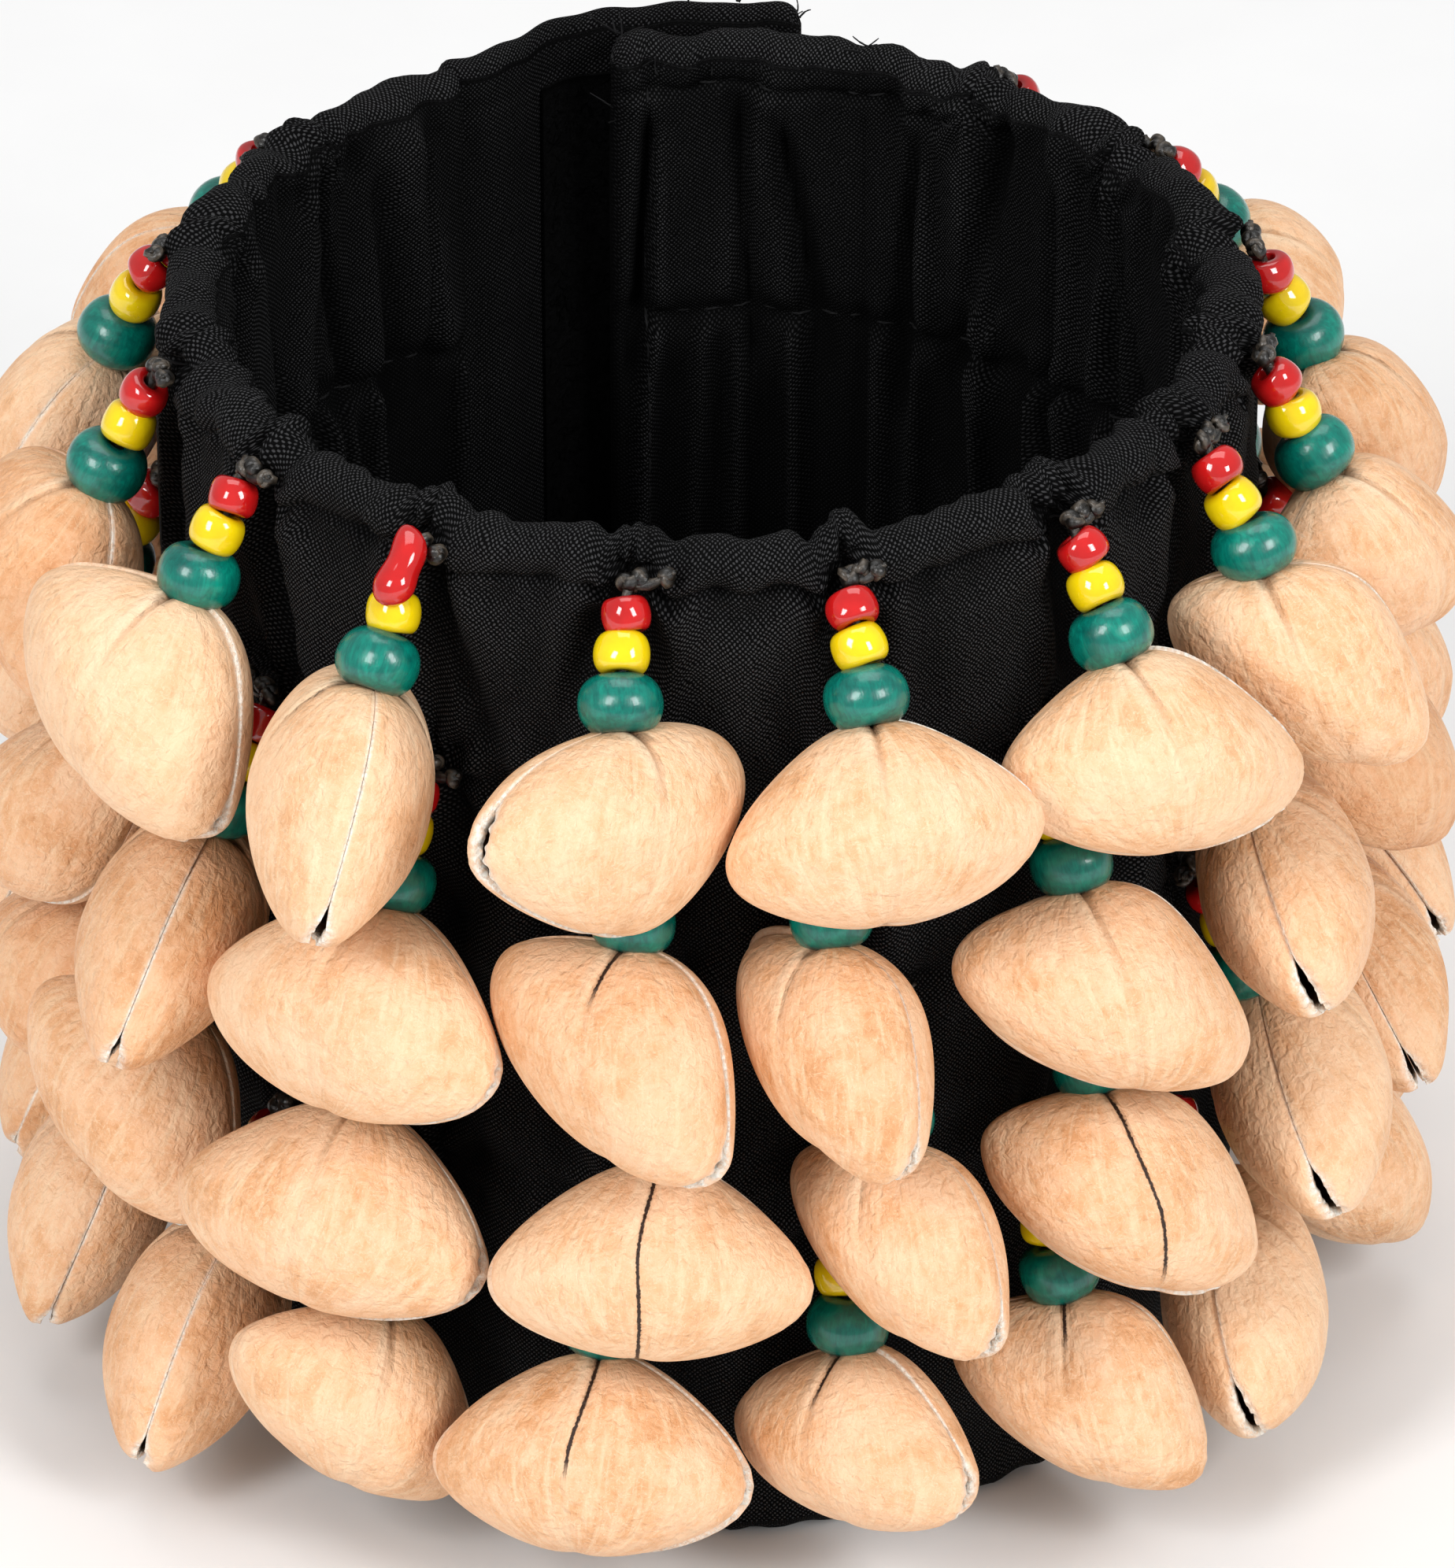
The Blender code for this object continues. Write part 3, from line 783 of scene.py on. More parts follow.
def make_bead(name, bead, top, seed, barrel, rough, nod, material):
    """A bead hung with its top this far down the strand; each is tilted and shaped a little differently."""
    radius, length = bead
    random = np.random.default_rng(seed)
    r, z = bead_profile(radius, length, CORD_RADIUS + 0.22, barrel)
    turn = np.arange(BEAD_AROUND) * TURN / BEAD_AROUND
    rr, tt = np.meshgrid(r, turn, indexing="ij")
    points = triples(rr * np.cos(tt), rr * np.sin(tt), z[:, None])
    shape = 1 + rough * wobble(points, seed, 2.2 * radius, 5) * np.clip(rr.ravel() / radius, 0, 1)
    points = points * shape[:, None]
    end = smooth((np.abs(points[:, 2]) / (length / 2) - 0.72) / 0.28)
    offset = random.uniform(0, 60, 3)
    grain = points + offset
    lean = random.normal(-nod, 0.08), random.normal(0, 0.12), random.uniform(0, TURN)
    tilt = np.array(Euler(lean).to_matrix())
    form = triples(points[:, 0], points[:, 1], end)
    points = points @ tilt.T - (0.0, 0.0, top + length / 2)
    points[:, :2] += random.normal(0, 0.05, 2)
    faces = grid_faces(len(r), BEAD_AROUND, closed_rows=True, closed_columns=True)
    return make_mesh(name, points, faces, material, {"grain": grain, "form": form})


def make_long_bead(name, seed, material):
    """A long bent drop of glass, two lobes run together, threaded at its lower end."""
    s = np.linspace(-1, 1, LONG_BEAD_ROWS)
    lobes = 1 - 0.10 * bell(s - 0.05, 0.35) + 0.10 * bell(s + 0.55, 0.4)
    radius = 1.50 * np.sqrt(np.clip(1 - np.abs(s) ** 3.2, 0, 1)) * lobes
    turn = np.arange(LONG_BEAD_AROUND) * TURN / LONG_BEAD_AROUND
    rr, tt = np.meshgrid(radius, turn, indexing="ij")
    along = np.broadcast_to(s[:, None], rr.shape) * LONG_BEAD_HALF
    bend = 0.075 * (along - 0.6) ** 2 * np.sign(along - 0.6) * -0.35 - 0.05 * along ** 2
    points = triples(rr * np.cos(tt) * 1.05 + bend, rr * np.sin(tt) * 0.95, along)
    points *= (1 + 0.03 * wobble(points, seed, 4.0, 5))[:, None]
    end = smooth((np.abs(points[:, 2]) / LONG_BEAD_HALF - 0.9) / 0.1)
    values = {"grain": points + 7.0, "form": triples(points[:, 0], points[:, 1], end)}
    tilt = np.array(Euler((-0.32, 0.04, 0.0)).to_matrix())
    points = points @ tilt.T + (0.7, -1.8, -1.7)
    faces = grid_faces(LONG_BEAD_ROWS, LONG_BEAD_AROUND, closed_columns=True).tolist()
    faces += caps(LONG_BEAD_ROWS, LONG_BEAD_AROUND)
    return make_mesh(name, points, faces, material, values)


# ---- cords


def strand_parts(seed):
    """The cord through the beads down into the nut, with its knot at the hinge."""
    random = np.random.default_rng(seed)
    z = np.linspace(0.3, -(STRAND_TO_NUT + 2.0), 40)
    sway = 0.07 * np.sin(z / 2.1 + random.uniform(0, TURN))
    line = triples(sway, 0.07 * np.cos(z / 1.7), z)
    knot = knot_path(1.05, seed) + (0.0, 0.0, 0.1)
    return [tube(line, CORD_RADIUS, sides=10), tube(knot, KNOT_PLY, closed=True)]


def tail_parts(knot, angle, seed, side):
    """The knot's spare end on the cloth: a short run to a second knot, and a cut tip. In the cuff's frame."""
    random = np.random.default_rng(seed + 77)
    reach = random.uniform(2.1, 3.0) * side
    rise = random.uniform(-0.6, 1.0)
    t = np.linspace(0, 1, 14)[:, None]
    bow = np.sin(np.pi * t)
    local = np.concatenate([reach * t, 0.05 - 0.25 * bow, rise * t - 0.3 * bow], 1)
    second = knot_path(0.72, seed + 31) + local[-1]
    first = knot_path(0.72, seed + 47) + (0.9 * side, 0.2, 0.5)
    tip = local[-1] + np.linspace(0, 1, 6)[:, None] * (0.7 * side, -0.2, 0.6)
    turn = np.array(Matrix.Rotation(math.radians(angle), 3, "Z"))
    place = np.array(knot) / MM
    parts = [tube(local, 0.40), tube(second, KNOT_PLY, closed=True), tube(first, KNOT_PLY, closed=True)]
    parts.append(tube(tip, np.linspace(0.32, 0.2, 6)))
    return [(points @ turn.T + place, faces, values) for points, faces, values in parts]


# ---- cloth


def fold_lines(low, high, count, seed, width, depth, drift, top, foot):
    """Seeded folds: each is (middle, slope, width, depth, top, foot) in cloth millimetres."""
    random = np.random.default_rng(seed)
    lines = []
    for index in range(count):
        middle = low + (high - low) * (index + random.uniform(0.1, 0.9)) / count
        lines.append((
            middle, random.normal(0, drift), random.uniform(*width), random.uniform(*depth),
            random.uniform(*top), random.uniform(*foot),
        ))
    return lines


def fold_depth(s, z, lines):
    """The sum of fold lines at cloth places (s, z); a fold fades out at both its ends."""
    total = np.zeros_like(s)
    for middle, slope, width, depth, top, foot in lines:
        centre = middle + slope * (z - (top + foot) / 2)
        near = np.abs(s - centre) < 3.2 * width
        if not near.any():
            continue
        window = smooth((top - z[near]) / FOLD_FADE + 0.5) * smooth((z[near] - foot) / FOLD_FADE + 0.5)
        total[near] += depth * bell(s[near] - centre[near], width) * window
    return total


def arc_mm(angle):
    return math.radians(angle) * CUFF_OUTER


class Cloth:
    """The relief of the cuff's two layers of cloth, in millimetres, by place round the cuff and height."""

    def __init__(self, knots):
        self.knots = [(arc_mm(angle), height) for angle, height in knots]
        self.low, self.high = arc_mm(BAND_START), arc_mm(BAND_END)
        self.outer_folds = self.folds(OUTER_FOLDS) + self.knot_folds()
        self.inner_folds = self.folds(INNER_FOLDS)

    def folds(self, kinds):
        return [line for kind in kinds for line in fold_lines(self.low, self.high, *kind)]

    def knot_folds(self):
        """Three folds running down from each top knot: a valley with a ridge on each side."""
        random = np.random.default_rng(5)
        lines = []
        for middle, height in self.knots:
            if height < TOP_ROW:
                continue
            sides = random.uniform(2.2, 3.2), random.uniform(-3.3, -2.2)
            for offset, depth in ((0.0, -1.4), (sides[0], 1.15), (sides[1], 1.2)):
                foot = height - random.uniform(22, 48)
                slope = random.normal(0, 0.16)
                centre = middle + offset * 1.3 - slope * (height - foot) / 2
                lines.append((centre, slope, random.uniform(1.2, 2.3), depth, height + 2, foot))
        return lines

    def pleats(self, s, z, share):
        """Small pleats that run together at each knot, by this share of their full depth."""
        total = np.zeros_like(s)
        for index, (middle, height) in enumerate(self.knots):
            across, up = s - middle, z - height
            apart = np.hypot(across, up)
            near = apart < PLEAT_REACH
            if not near.any():
                continue
            apart, turn = apart[near], np.arctan2(across[near], up[near])
            spokes = np.cos(PLEATS * turn + 1.7 * index) + 0.6 * np.cos((PLEATS - 4) * turn + 0.9 * index)
            total[near] += share * spokes * np.exp(-apart / 3.6) * apart / (apart + 0.9)
            total[near] -= 0.55 * bell(apart, 1.9)
        return total

    def billow(self, s, z):
        """The cloth sinks along each column of dangles and swells between them, from the hem down."""
        swell = np.full_like(s, 0.55)
        for middle, height in self.knots:
            if height > TOP_ROW:
                swell -= 1.25 * bell(s - middle - 0.05 * (height - z), 3.1)
        return swell * smooth((HEM_STITCH - z) / 6.0)

    def hem_puckers(self, s, z, seed, share):
        """Slanting puckers along the rolled hem, by this share."""
        return share * cloth_wobble(s, z * 0.35, seed, 3.4, 9) * smooth((z - 85.5) / 4.0)

    def outer(self, s, z):
        """The radius of the outer layer: folds, pleats, dented tunnels, and the sunk stitches of its hem."""
        depth = fold_depth(s, z, self.outer_folds) + self.pleats(s, z, 1.90)
        depth += self.hem_puckers(s, z, 3, 0.42)
        for height in tuple(ELASTICS.values())[:3]:
            depth -= 0.30 * bell(z - height, 2.4)
        depth += self.billow(s, z)
        depth -= 0.75 * bell(z - HEM_STITCH, 0.42)
        depth += 0.45 * bell(z - (HEM_STITCH + 2.0), 1.3)
        depth += 0.30 * np.sin(np.pi * np.clip((z - 65) / 24, 0, 1))
        depth -= 0.30 * bell(s - (self.high - END_STITCH), 0.45)
        return CUFF_OUTER - 0.35 + np.clip(depth, -1.55, 1.25)

    def inner(self, s, z):
        """The radius of the inner layer: deeper gathers than outside, and its hem near the band's end."""
        depth = fold_depth(s, z, self.inner_folds) + self.pleats(s, z, 0.80)
        depth += self.hem_puckers(s, z, 4, 0.32)
        depth = depth * (1 - 0.75 * bell(z - CASING_STITCH, 1.0))
        near_end = smooth((s - (self.high - HEM_SEEN)) / 5.0)
        depth += near_end * (0.60 * bell(z - HEM_STITCH, 0.5) - 0.35 * bell(z - (HEM_STITCH + 2.0), 1.3))
        depth -= 0.35 * bell(z - 35.0, 1.6)
        depth += 0.70 * bell(s - (self.high - END_STITCH), 0.45)
        depth += 0.90 * bell(s - (self.high - 23.0), 0.5) * smooth((z - 30) / 20)
        base = CUFF_INNER + 0.10 - 1.2 * smooth((z - CASING_STITCH) / 3.0)
        return base + np.clip(depth, -2.6, 0.60 + 1.2 * smooth((z - CASING_STITCH) / 3.0))

    def top(self, s):
        """The height of the rim: it dips where a knot draws it in."""
        rim = CUFF_HEIGHT - 0.45 + 0.30 * line_wobble(s, 8, 5.0, 8) + 0.30 * line_wobble(s, 9, 19.0, 5)
        for middle, height in self.knots:
            if height > TOP_ROW:
                rim += 0.85 * bell(s - middle - 0.5, 1.2)
                rim -= 0.80 * bell(s - middle + 2.3, 0.8) + 0.65 * bell(s - middle - 3.1, 0.9)
        return np.clip(rim, 0.0, CUFF_HEIGHT + 0.9)

    def foot(self, s):
        """The height of the lower edge."""
        return 0.35 + 0.25 * line_wobble(s, 10, 6.0, 8)


def band_mesh(columns, rows, outer_of, inner_of, top_of, foot_of, end_round):
    """A closed two-layer band: points, faces and cloth coordinates.

    Its radii are functions of place and height, its top and foot functions of place. The end_round is the
    length over which each end narrows.
    """
    count = len(columns)
    roll = np.linspace(0, np.pi, ROLL_STEPS + 2)[1:-1]
    s_grid, z_grid = np.meshgrid(columns, rows, indexing="ij")
    r_out, r_in = outer_of(s_grid, z_grid), inner_of(s_grid, z_grid)
    ends = np.minimum(columns - columns[0], columns[-1] - columns)[:, None]
    share = 0.12 + 0.88 * np.sqrt(1 - (1 - np.clip(ends / end_round, 0, 1)) ** 2)
    middle = (r_out + r_in) / 2
    r_out, r_in = middle + (r_out - middle) * share, middle + (r_in - middle) * share
    top, foot = top_of(columns)[:, None], foot_of(columns)[:, None]
    stretch = (rows - rows[0]) / (rows[-1] - rows[0])
    z = (foot + FOOT_ROLL) + ((top - RIM_ROLL) - (foot + FOOT_ROLL)) * stretch
    half = (r_out - r_in) / 2
    top_r, top_z = middle[:, -1:] + half[:, -1:] * np.cos(roll), z[:, -1:] + RIM_ROLL * share * np.sin(roll)
    foot_r, foot_z = middle[:, :1] - half[:, :1] * np.cos(roll), z[:, :1] - FOOT_ROLL * share * np.sin(roll)
    radius = np.concatenate([r_out, top_r, r_in[:, ::-1], foot_r], 1)
    height = np.concatenate([z, top_z, z[:, ::-1], foot_z], 1)
    angle = columns[:, None] / CUFF_OUTER
    points = triples(radius * np.sin(angle), -radius * np.cos(angle), height)
    ring = radius.shape[1]
    faces = grid_faces(count, ring, closed_columns=True).tolist()
    faces += end_faces(ring, len(rows), 0, False) + end_faces(ring, len(rows), (count - 1) * ring, True)
    layer = np.repeat((0.0, 1.0, INNER_LAYER, 2.0), (len(rows), len(roll), len(rows), len(roll)))
    around_mm = columns[:, None] * np.where(layer[None, :] > INNER_LAYER / 2, CUFF_INNER / CUFF_OUTER, 1.0)
    turned = ROLL_RUN * roll / np.pi
    run = np.concatenate([rows, rows[-1] + turned, rows[::-1] + ROLL_RUN, rows[0] - turned])
    return points, faces, triples(around_mm, run[None, :], layer[None, :])


def end_faces(ring, rows, start, flip):
    """The sewn end of a band: quads from its outer side across to its inner side."""
    faces = []
    top = rows + ROLL_STEPS
    pairs = [(i, top + rows - 1 - i) for i in range(rows)]
    pairs += [(rows + i, top - 1 - i) for i in range(ROLL_STEPS // 2)]
    pairs = [(ring - 1 - i, top + rows + i) for i in range(ROLL_STEPS // 2)][::-1] + pairs
    for (a, b), (c, d) in zip(pairs, pairs[1:]):
        face = [start + a, start + b, start + d, start + c]
        faces.append(face[::-1] if flip else face)
    return faces


def fold_share(points, values, outer_low, outer_high, inner_low, inner_high):
    """From 0 at the bottom of a crease to 1 on a ridge, for the cloth's outer and inner faces; the cloth's
    colour paints shade into the creases and light onto the ridges from it.
    """
    radius = np.hypot(points[:, 0], points[:, 1])
    outside = (radius - outer_low) / (outer_high - outer_low)
    inside = (radius - inner_low) / (inner_high - inner_low)
    rolled = np.where(values[:, 2] > 0.5, 0.75, outside)
    share = np.where(values[:, 2] > INNER_LAYER / 2, inside, rolled)
    return triples(np.clip(share, 0, 1), 0.0, 0.0)


def make_cover(cloth, material):
    """The gathered cover, both its layers, with finer columns where a knot pinches it."""
    pinches = [(s, 4.0, 1.3) for s, height in cloth.knots if height > TOP_ROW] + [(cloth.high, 4.0, 1.0)]
    columns = uneven_steps(cloth.low, cloth.high, CLOTH_COLUMNS, pinches)
    rows = uneven_steps(1.7, HEM_ROLL, CLOTH_ROWS, ((HEM_STITCH, 3.0, 3.0), (CASING_STITCH, 1.6, 1.5)))

    points, faces, values = band_mesh(columns, rows, cloth.outer, cloth.inner, cloth.top, cloth.foot, 1.6)
    proud = fold_share(points, values, CUFF_OUTER - 1.9, CUFF_OUTER + 0.9, CUFF_INNER + 0.7, CUFF_INNER - 3.0)
    return make_mesh("cuff_cover_cloth", points, faces, material, {"cloth": values, "fold": proud})


def make_elastic(name, height, cloth, material):
    """A flat tape that lies midway between the two layers of cloth and follows their gathers."""
    s = np.linspace(cloth.low + 2, cloth.high - 2, 400)
    z = np.linspace(height - ELASTIC_WIDTH / 2, height + ELASTIC_WIDTH / 2, 5)
    s_grid, z_grid = np.meshgrid(s, z, indexing="ij")
    middle = (cloth.outer(s_grid, z_grid) + cloth.inner(s_grid, z_grid)) / 2
    radius = np.concatenate([middle + ELASTIC_HALF, (middle - ELASTIC_HALF)[:, ::-1]], 1)
    places = np.concatenate([s_grid, s_grid], 1), np.concatenate([z_grid, z_grid[:, ::-1]], 1)
    points = on_cuff(*places, radius)
    ring = radius.shape[1]
    faces = grid_faces(len(s), ring, closed_columns=True).tolist()
    faces += caps(len(s), ring)
    return make_mesh(name, points, faces, material, {"cloth": triples(*places, 0.0)})


def flap_share(s):
    """How far the flap has stepped out over the closure, from 0 to 1."""
    low, high = FLAP_STEP
    return smooth((high - np.degrees(s / CUFF_OUTER)) / (high - low))


def flap_inside(s):
    """The radius of the flap's inner face."""
    return CUFF_INNER + (CUFF_OUTER + STRIP_STACK - CUFF_INNER) * flap_share(s)


def make_flap(material):
    """The closure flap: two layers of cloth that step outward over the strips."""
    low, high = arc_mm(FLAP_TIP), arc_mm(FLAP_ROOT) + ROOT_LAP
    columns = np.linspace(low, high, FLAP_COLUMNS)
    rows = uneven_steps(2.8, 91.2, FLAP_ROWS, ((88.5, 1.6, 2.0),))
    folds = fold_lines(low, high, *FLAP_FOLDS)

    def relief(s, z, seed):
        puckers = 0.12 * cloth_wobble(s, z * 0.35, seed, 3.2, 8)
        depth = fold_depth(s, z, folds) + puckers * smooth((z - 84) / 4)
        depth -= 0.35 * bell(z - 88.6, 0.6) + 0.30 * bell(s - (low + 2.6), 0.5)
        return np.clip(depth, -0.6, 0.35)

    def outer_of(s, z):
        return CUFF_OUTER + (STRIP_STACK + FLAP_THICKNESS) * flap_share(s) - 0.25 + relief(s, z, 32)

    def inner_of(s, z):
        return flap_inside(s) + 0.12 - 0.4 * relief(s, z, 33)

    def top_of(s):
        return 93.5 + 0.30 * line_wobble(s, 34, 6.0, 8)

    def foot_of(s):
        return 1.0 + 0.25 * line_wobble(s, 35, 6.0, 8)

    points, faces, values = band_mesh(columns, rows, outer_of, inner_of, top_of, foot_of, 1.3)
    # a flat fold share, so the flap's cloth gets no painted crease shade
    proud = np.full_like(values, 0.6)
    return make_mesh("closure_flap_cloth", points, faces, material, {"cloth": values, "fold": proud})


def on_cuff(s, z, radius):
    """Points at this radius, from places on the cloth."""
    angle = s / CUFF_OUTER
    return triples(radius * np.sin(angle), -radius * np.cos(angle), z)


def stitch_run(places, radii, proud):
    """Stitches laid end to end on a surface; places are (s, z) rows, radii the surface there."""
    parts = []
    steps = np.linalg.norm(np.diff(places, axis=0), axis=1)
    run = np.concatenate([[0], np.cumsum(steps)])
    for start in np.arange(0.4, run[-1] - STITCH_LENGTH, STITCH_STEP):
        at = start + np.linspace(0, STITCH_LENGTH, 7)
        s = np.interp(at, run, places[:, 0])
        z = np.interp(at, run, places[:, 1])
        radius = np.interp(at, run, radii)
        arch = np.sin(np.linspace(0, np.pi, 7))
        path = on_cuff(s, z, radius + proud * (1.6 * arch - 0.9))
        parts.append(tube(path, STITCH_RADIUS * (0.55 + 0.45 * arch), sides=6, lay=0.7))
    return parts


def make_stitches(cloth, material):
    """The visible stitch lines: hem outside and inside, casing inside, and the band's sewn end."""
    parts = []
    for height, surface, proud, start in (
        (HEM_STITCH, cloth.outer, 0.12, cloth.low + 2),
        (HEM_STITCH, cloth.inner, -0.12, cloth.high - HEM_SEEN),
        (CASING_STITCH, cloth.inner, -0.12, cloth.low + 2),
    ):
        s = np.linspace(start, cloth.high - END_STITCH, 900)
        z = height + 0.25 * line_wobble(s, int(height), 9.0, 6)
        parts += stitch_run(np.stack([s, z], 1), surface(s, z), proud)
    z = np.linspace(90.0, 6.0, 300)
    end = np.full_like(z, cloth.high - END_STITCH)
    parts += stitch_run(np.stack([end, z], 1), cloth.inner(end, z), -0.12)
    return make_joined("cuff_stitching", parts, material)


def loose_threads(place, count, seed, length):
    """A small brush of frayed threads standing from a point of the rim."""
    random = np.random.default_rng(seed)
    parts = []
    for _ in range(count):
        direction = np.array((random.normal(0, 0.8), random.normal(0, 0.4), random.uniform(0.3, 1.0)))
        direction *= random.uniform(0.5, 1.0) * length / np.linalg.norm(direction)
        curl = random.normal(0, 0.8, 3)
        t = np.linspace(0, 1, 9)[:, None]
        path = place + random.normal(0, 0.35, 3) + direction * t + curl * t * t
        parts.append(tube(path, np.linspace(0.11, 0.05, 9), sides=5, lay=0.6))
    return parts


def make_frays(name, places, first_seed, material):
    parts = []
    for seed, (angle, radius, height, count, length) in enumerate(places, first_seed):
        parts += loose_threads(np.array(around(radius, angle, height)), count, seed, length)
    return make_joined(name, parts, material)


# ---- hook and loop


def strip_base(span, radius_of, thickness, low, high, columns, rows, seed):
    """A thin curved tape between two angles: points, faces, cloth coordinates."""
    s = np.linspace(arc_mm(span[0]), arc_mm(span[1]), columns)
    z = np.linspace(low, high, rows)
    s_grid, z_grid = np.meshgrid(s, z, indexing="ij")
    base = radius_of(s_grid)
    bumps = 0.06 * cloth_wobble(s_grid, z_grid, seed, 1.6, 8)
    outer = on_cuff(s_grid, z_grid, base + thickness + bumps)
    inner = on_cuff(s_grid, z_grid, base + bumps)
    face = grid_faces(columns, rows)
    start = columns * rows
    faces = face.tolist() + (face[:, ::-1] + start).tolist()
    border = [c * rows for c in range(columns)] + [(columns - 1) * rows + r for r in range(1, rows)]
    border += [c * rows + rows - 1 for c in range(columns - 2, -1, -1)] + list(range(rows - 2, 0, -1))
    for a, b in zip(border, border[1:] + border[:1]):
        faces.append([b, a, a + start, b + start])
    values = triples(s_grid, z_grid, 0.0)
    return np.concatenate([outer, inner]), faces, np.concatenate([values, values])


def make_hook_strip(material):
    """Tape with rows of small bent hooks, on the outside of the band's free end."""
    low, high = CUFF_HEIGHT / 2 - 40, CUFF_HEIGHT / 2 + 40
    radius = CUFF_OUTER + 0.3
    parts = [strip_base(HOOK_SPAN, lambda s: s * 0 + radius, 0.35, low, high, 24, 90, 41)]
    t = np.linspace(0, 1, 5)
    start, end = arc_mm(HOOK_SPAN[0]) + 0.8, arc_mm(HOOK_SPAN[1]) - 0.6
    for row, z in enumerate(np.arange(low + 1.2, high - 1.0, 1.5)):
        for s in np.arange(start + 0.4 * (row % 2), end, 1.1):
            rise = 0.30 + 0.38 * np.sin(t * 2.3)
            path = on_cuff(s + 0.0 * t, z + 0.42 * t, radius + rise)
            parts.append(tube(path, 0.10, sides=4, plies=1))
    return make_joined("hook_strip_pile", parts, material)


def make_loop_strip(material):
    """Tape with a tangle of soft loops, on the inner face of the flap."""
    low, high = CUFF_HEIGHT / 2 - 41, CUFF_HEIGHT / 2 + 41

    def radius_of(s):
        return flap_inside(s) - 0.45

    parts = [strip_base(LOOP_SPAN, radius_of, 0.40, low, high, 40, 90, 42)]
    random = np.random.default_rng(43)
    t = np.linspace(0, 1, 7)
    start, end = arc_mm(LOOP_SPAN[0]) + 0.4, arc_mm(LOOP_SPAN[1]) - 0.4
    for _ in range(LOOP_COUNT):
        s, z = random.uniform(start, end), random.uniform(low + 0.4, high - 0.4)
        turn, wide = random.uniform(0, TURN), random.uniform(0.5, 1.3)
        run_s, run_z = s + wide * (t - 0.5) * math.cos(turn), z + wide * (t - 0.5) * math.sin(turn)
        path = on_cuff(run_s, run_z, radius_of(run_s) - random.uniform(0.12, 0.42) * np.sin(np.pi * t))
        parts.append(tube(path, 0.055, sides=3, plies=1))
    return make_joined("loop_strip_pile", parts, material)


# ---- dangles


def make_dangle(joint, materials):
    """A dangle's nut, beads and cord, which ride on its body; gives its seed, 100 times its row + column."""
    body = joint["child"]
    row, column = int(body[8]), int(body[11:])
    seed = 100 * row + column
    lean, roll, yaw, size = COLUMNS[column - 1][row - 1]
    half = NUT_HALF * size
    tag = f"r{row}_c{column:02d}"
    look = {"crack": CRACKS.get((row, column), 0.0), "tint": TINTS.get((row, column), random_tint(seed))}
    nut = make_nut(f"nutshell_{tag}", half, roll, yaw, seed, look, materials["nutshell"])
    pieces = [(nut, "nutshell")]
    top = BEADS_START
    for index, (kind, bead, barrel, rough, nod) in enumerate(BEADS, 1):
        slot = f"{kind}_bead"
        if kind == "red" and (row, column) == LONG_BEAD:
            item = make_long_bead(f"{slot}_{tag}", seed, materials[kind])
        else:
            item = make_bead(f"{slot}_{tag}", bead, top, seed + index, barrel, rough, nod, materials[kind])
        pieces.append((item, slot))
        top += bead[1]
    pieces.append((make_joined(f"cord_{tag}", strand_parts(seed), materials["cord"]), "cord"))
    turn = Euler((-math.radians(lean), 0.0, math.radians(angle_of(joint)))).to_matrix().to_4x4()
    place = Matrix.Translation(joint["pos_m"]) @ turn
    for item, slot in pieces:
        item.data.transform(place)
        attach(item, body)
    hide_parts(body)
    return seed


def random_tint(seed):
    return float(np.random.default_rng(seed + 400).uniform(-0.35, 0.45))


def make_dangles(swings, materials):
    """Every dangle, and one mesh of knot tails for each row, which stay on the cuff."""
    tails = {}
    for joint in swings:
        seed = make_dangle(joint, materials)
        side = 1.0 if seed < 200 or seed % 3 else -1.0
        tails.setdefault(seed // 100, []).extend(tail_parts(joint["pos_m"], angle_of(joint), seed, side))
    for row, parts in tails.items():
        item = make_joined(f"knot_tails_r{row}", parts, materials["cord"])
        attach(item, "cuff")


# ---- scene


def angle_of(joint):
    x, y, _ = joint["pos_m"]
    return math.degrees(math.atan2(x, -y))


def make_cuff(swings, materials):
    """The band with its cloth, threads, strips and elastics, and the flap's cloth, whose frays and loop strip
    ride on the flap's body.
    """
    cloth = Cloth([(angle_of(joint), joint["pos_m"][2] / MM) for joint in swings])
    cover = make_cover(cloth, materials["cloth"])
    stitching = make_stitches(cloth, materials["thread"])
    frays = make_frays("cuff_frayed_threads", COVER_FRAYS, 60, materials["thread"])
    hooks = make_hook_strip(materials["hook"])
    slots = ("black_fabric", "black_fabric", "black_fabric", "hook_loop")
    for item, slot in zip((cover, stitching, frays, hooks), slots):
        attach(item, "cuff")
    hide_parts("cuff_cover")
    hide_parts("hook_strip")
    flap = make_flap(materials["cloth"])
    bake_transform(flap)
    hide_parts("closure_flap")
    flap_frays = make_frays("flap_frayed_threads", FLAP_FRAYS, 80, materials["thread"])
    loops = make_loop_strip(materials["loop"])
    for item, slot in ((flap_frays, "black_fabric"), (loops, "hook_loop")):
        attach(item, "flap")
    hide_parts("loop_strip")
    for name, height in ELASTICS.items():
        tape = make_elastic(f"{name}_tape", height, cloth, materials["elastic"])
        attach(tape, "cuff")
        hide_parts(name)


def make_materials():
    return {
        "nutshell": nutshell_material(),
        "red": glass_material("red_glass", (0.600, 0.010, 0.010), (0.330, 0.004, 0.005)),
        "yellow": glass_material("yellow_glass", (0.920, 0.690, 0.004), (0.760, 0.480, 0.002)),
        "green": green_wood_material(),
        "cloth": cloth_material(),
        "thread": thread_material(),
        "cord": cord_material(),
        "hook": fuzz_material("hook_pile", (0.006, 0.006, 0.006), (0.030, 0.030, 0.032), 1.2),
        "loop": fuzz_material("loop_pile", (0.0008, 0.0008, 0.0008), (0.006, 0.006, 0.0065), 2.0),
        "elastic": elastic_material(),
    }


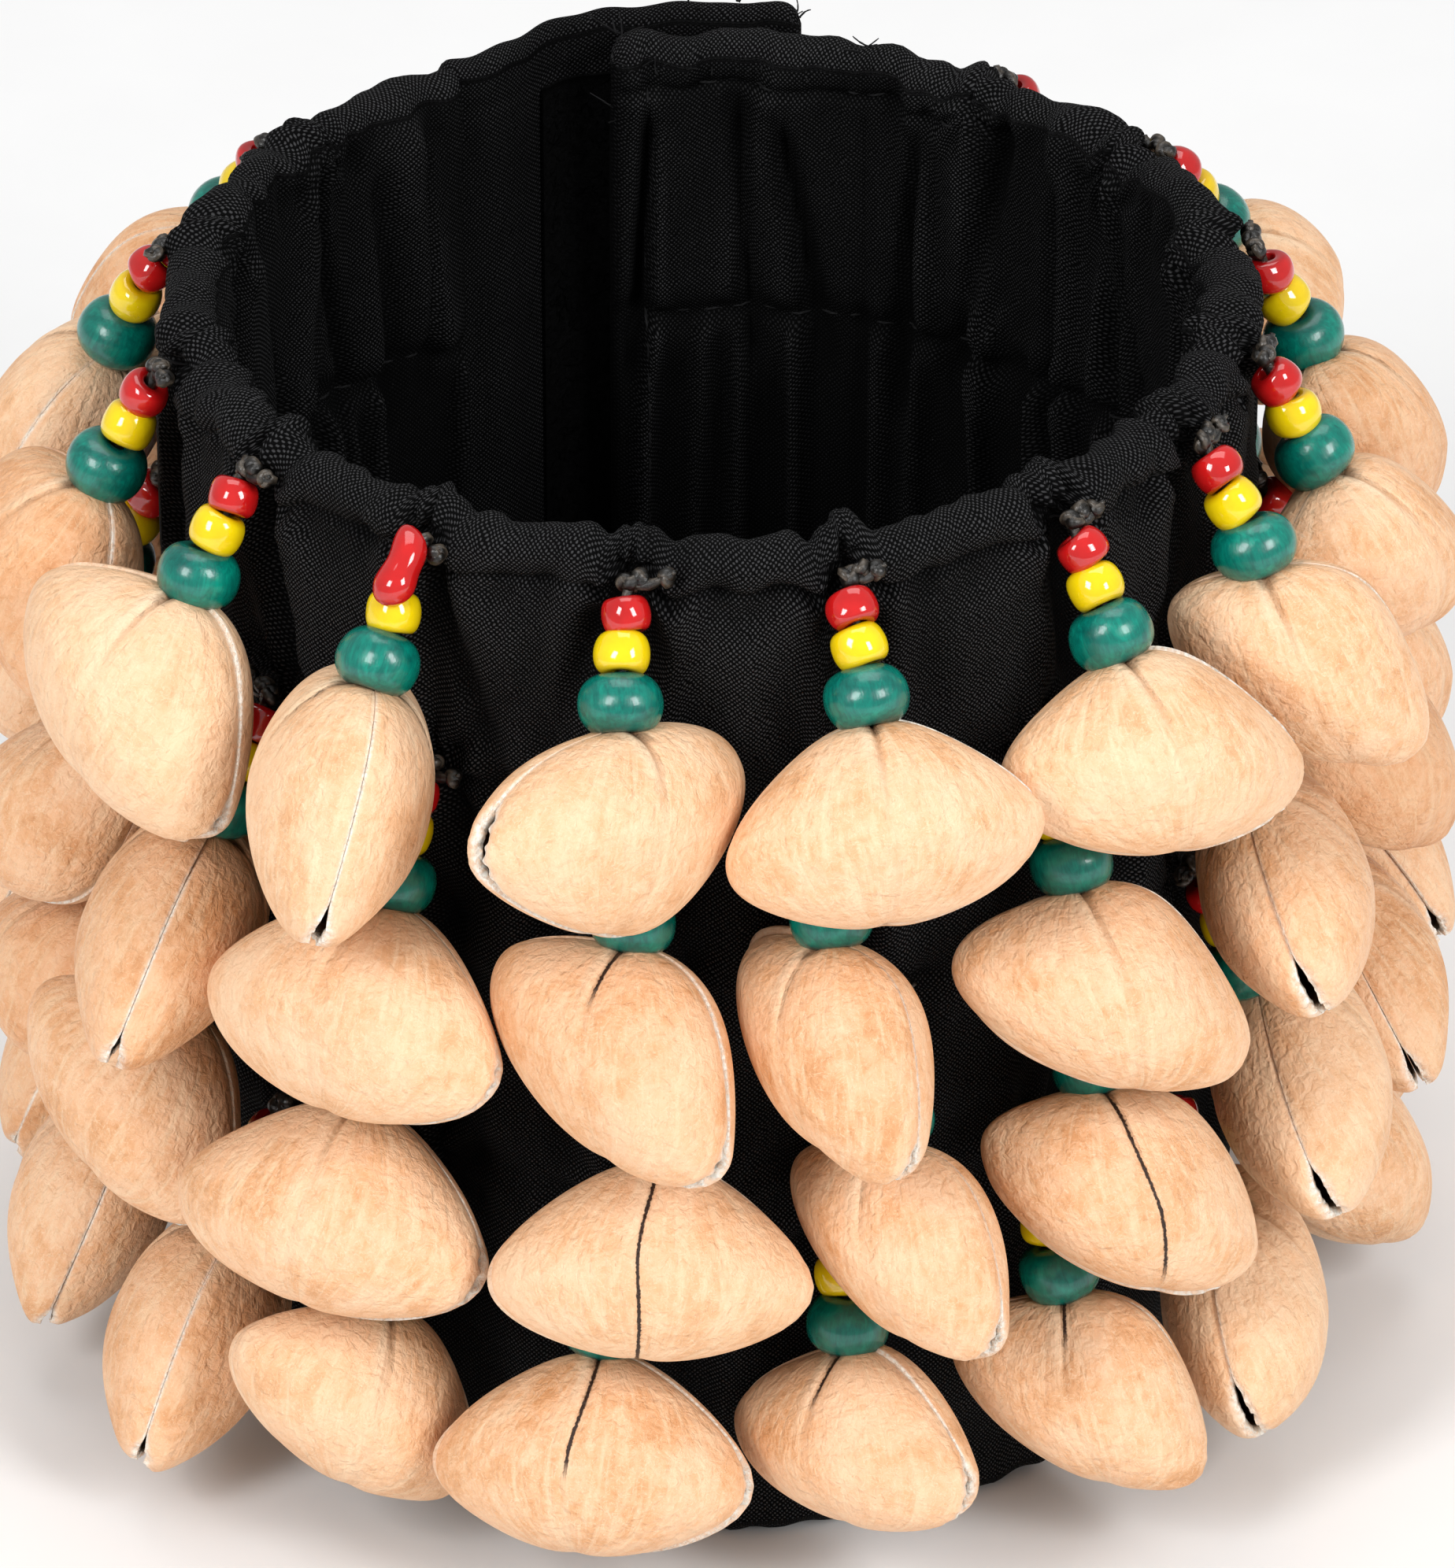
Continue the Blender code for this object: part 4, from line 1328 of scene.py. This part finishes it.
def floor_material():
    s = Shader("pale_floor", (0.9, 0.9, 0.9))
    place = s.add("ShaderNodeTexCoord", {}, "Object")
    speck = s.noise(place, 60.0, 3.0)
    colour = s.mix(speck, (0.86, 0.86, 0.86), (0.90, 0.90, 0.90))
    return s.finish(Base_Color=colour, Roughness=0.85, Specular_IOR_Level=0.2)


def make_floor():
    """A wide pale disc, just under the part."""
    turn = np.arange(FLOOR_SIDES) * TURN / FLOOR_SIDES
    rim = FLOOR_RADIUS * triples(np.cos(turn), np.sin(turn), 0.0) - (0.0, 0.0, FLOOR_DROP)
    floor = make_mesh("floor", rim, [list(range(FLOOR_SIDES))], floor_material(), metres=1.0)
    floor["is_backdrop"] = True


def make_light(name, place, aim, size, power):
    light = bpy.data.lights.new(name, "AREA")
    light.shape = "RECTANGLE"
    light.size, light.size_y = size
    light.energy = power
    item = bpy.data.objects.new(name, light)
    item.location = place
    item.rotation_euler = (Vector(aim) - Vector(place)).to_track_quat("-Z", "Y").to_euler()
    bpy.context.scene.collection.objects.link(item)


def make_lights():
    aim = (0.0, 0.0, 0.05)
    make_light("softbox_left", (-0.62, -0.75, 0.72), aim, (0.34, 0.50), 6.9)
    make_light("softbox_right", (0.66, -0.72, 0.70), aim, (0.34, 0.50), 7.3)
    make_light("overhead", (0.0, 0.25, 1.20), aim, (0.9, 0.7), 4.7)
    world = bpy.data.worlds.new("studio")
    world.use_nodes = True
    world.node_tree.nodes["Background"].inputs["Color"].default_value = (1.0, 1.0, 1.0, 1.0)
    world.node_tree.nodes["Background"].inputs["Strength"].default_value = 0.42
    bpy.context.scene.world = world
    bpy.context.scene.view_settings.view_transform = "Standard"


def make_camera():
    camera = bpy.data.cameras.new("camera")
    camera.lens = CAMERA_LENS
    camera.sensor_width = 36.0
    camera.clip_start, camera.clip_end = 0.01, 20.0
    item = bpy.data.objects.new("camera", camera)
    rise = math.radians(CAMERA_ELEVATION)
    back = Vector((0.0, -math.cos(rise), math.sin(rise)))
    item.location = CAMERA_AIM + back * CAMERA_DISTANCE
    item.rotation_euler = (-back).to_track_quat("-Z", "Y").to_euler()
    bpy.context.scene.collection.objects.link(item)
    bpy.context.scene.camera = item


def corners(bounds):
    return [list(corner) for corner in bounds]


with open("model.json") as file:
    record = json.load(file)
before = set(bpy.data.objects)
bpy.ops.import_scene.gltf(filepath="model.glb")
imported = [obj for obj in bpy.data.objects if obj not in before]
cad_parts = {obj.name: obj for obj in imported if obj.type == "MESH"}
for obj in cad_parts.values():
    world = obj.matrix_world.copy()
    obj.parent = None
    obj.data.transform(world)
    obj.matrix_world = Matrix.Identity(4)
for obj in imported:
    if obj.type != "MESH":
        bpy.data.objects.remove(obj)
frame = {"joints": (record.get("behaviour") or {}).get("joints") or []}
cad_box = corners(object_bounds())
make_camera()
make_lights()
make_floor()
materials = make_materials()
swings = [joint for joint in frame["joints"] if joint["name"].startswith("swing_")]
make_cuff(swings, materials)
make_dangles(swings, materials)
{"cad": cad_box, "visual": corners(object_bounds())}
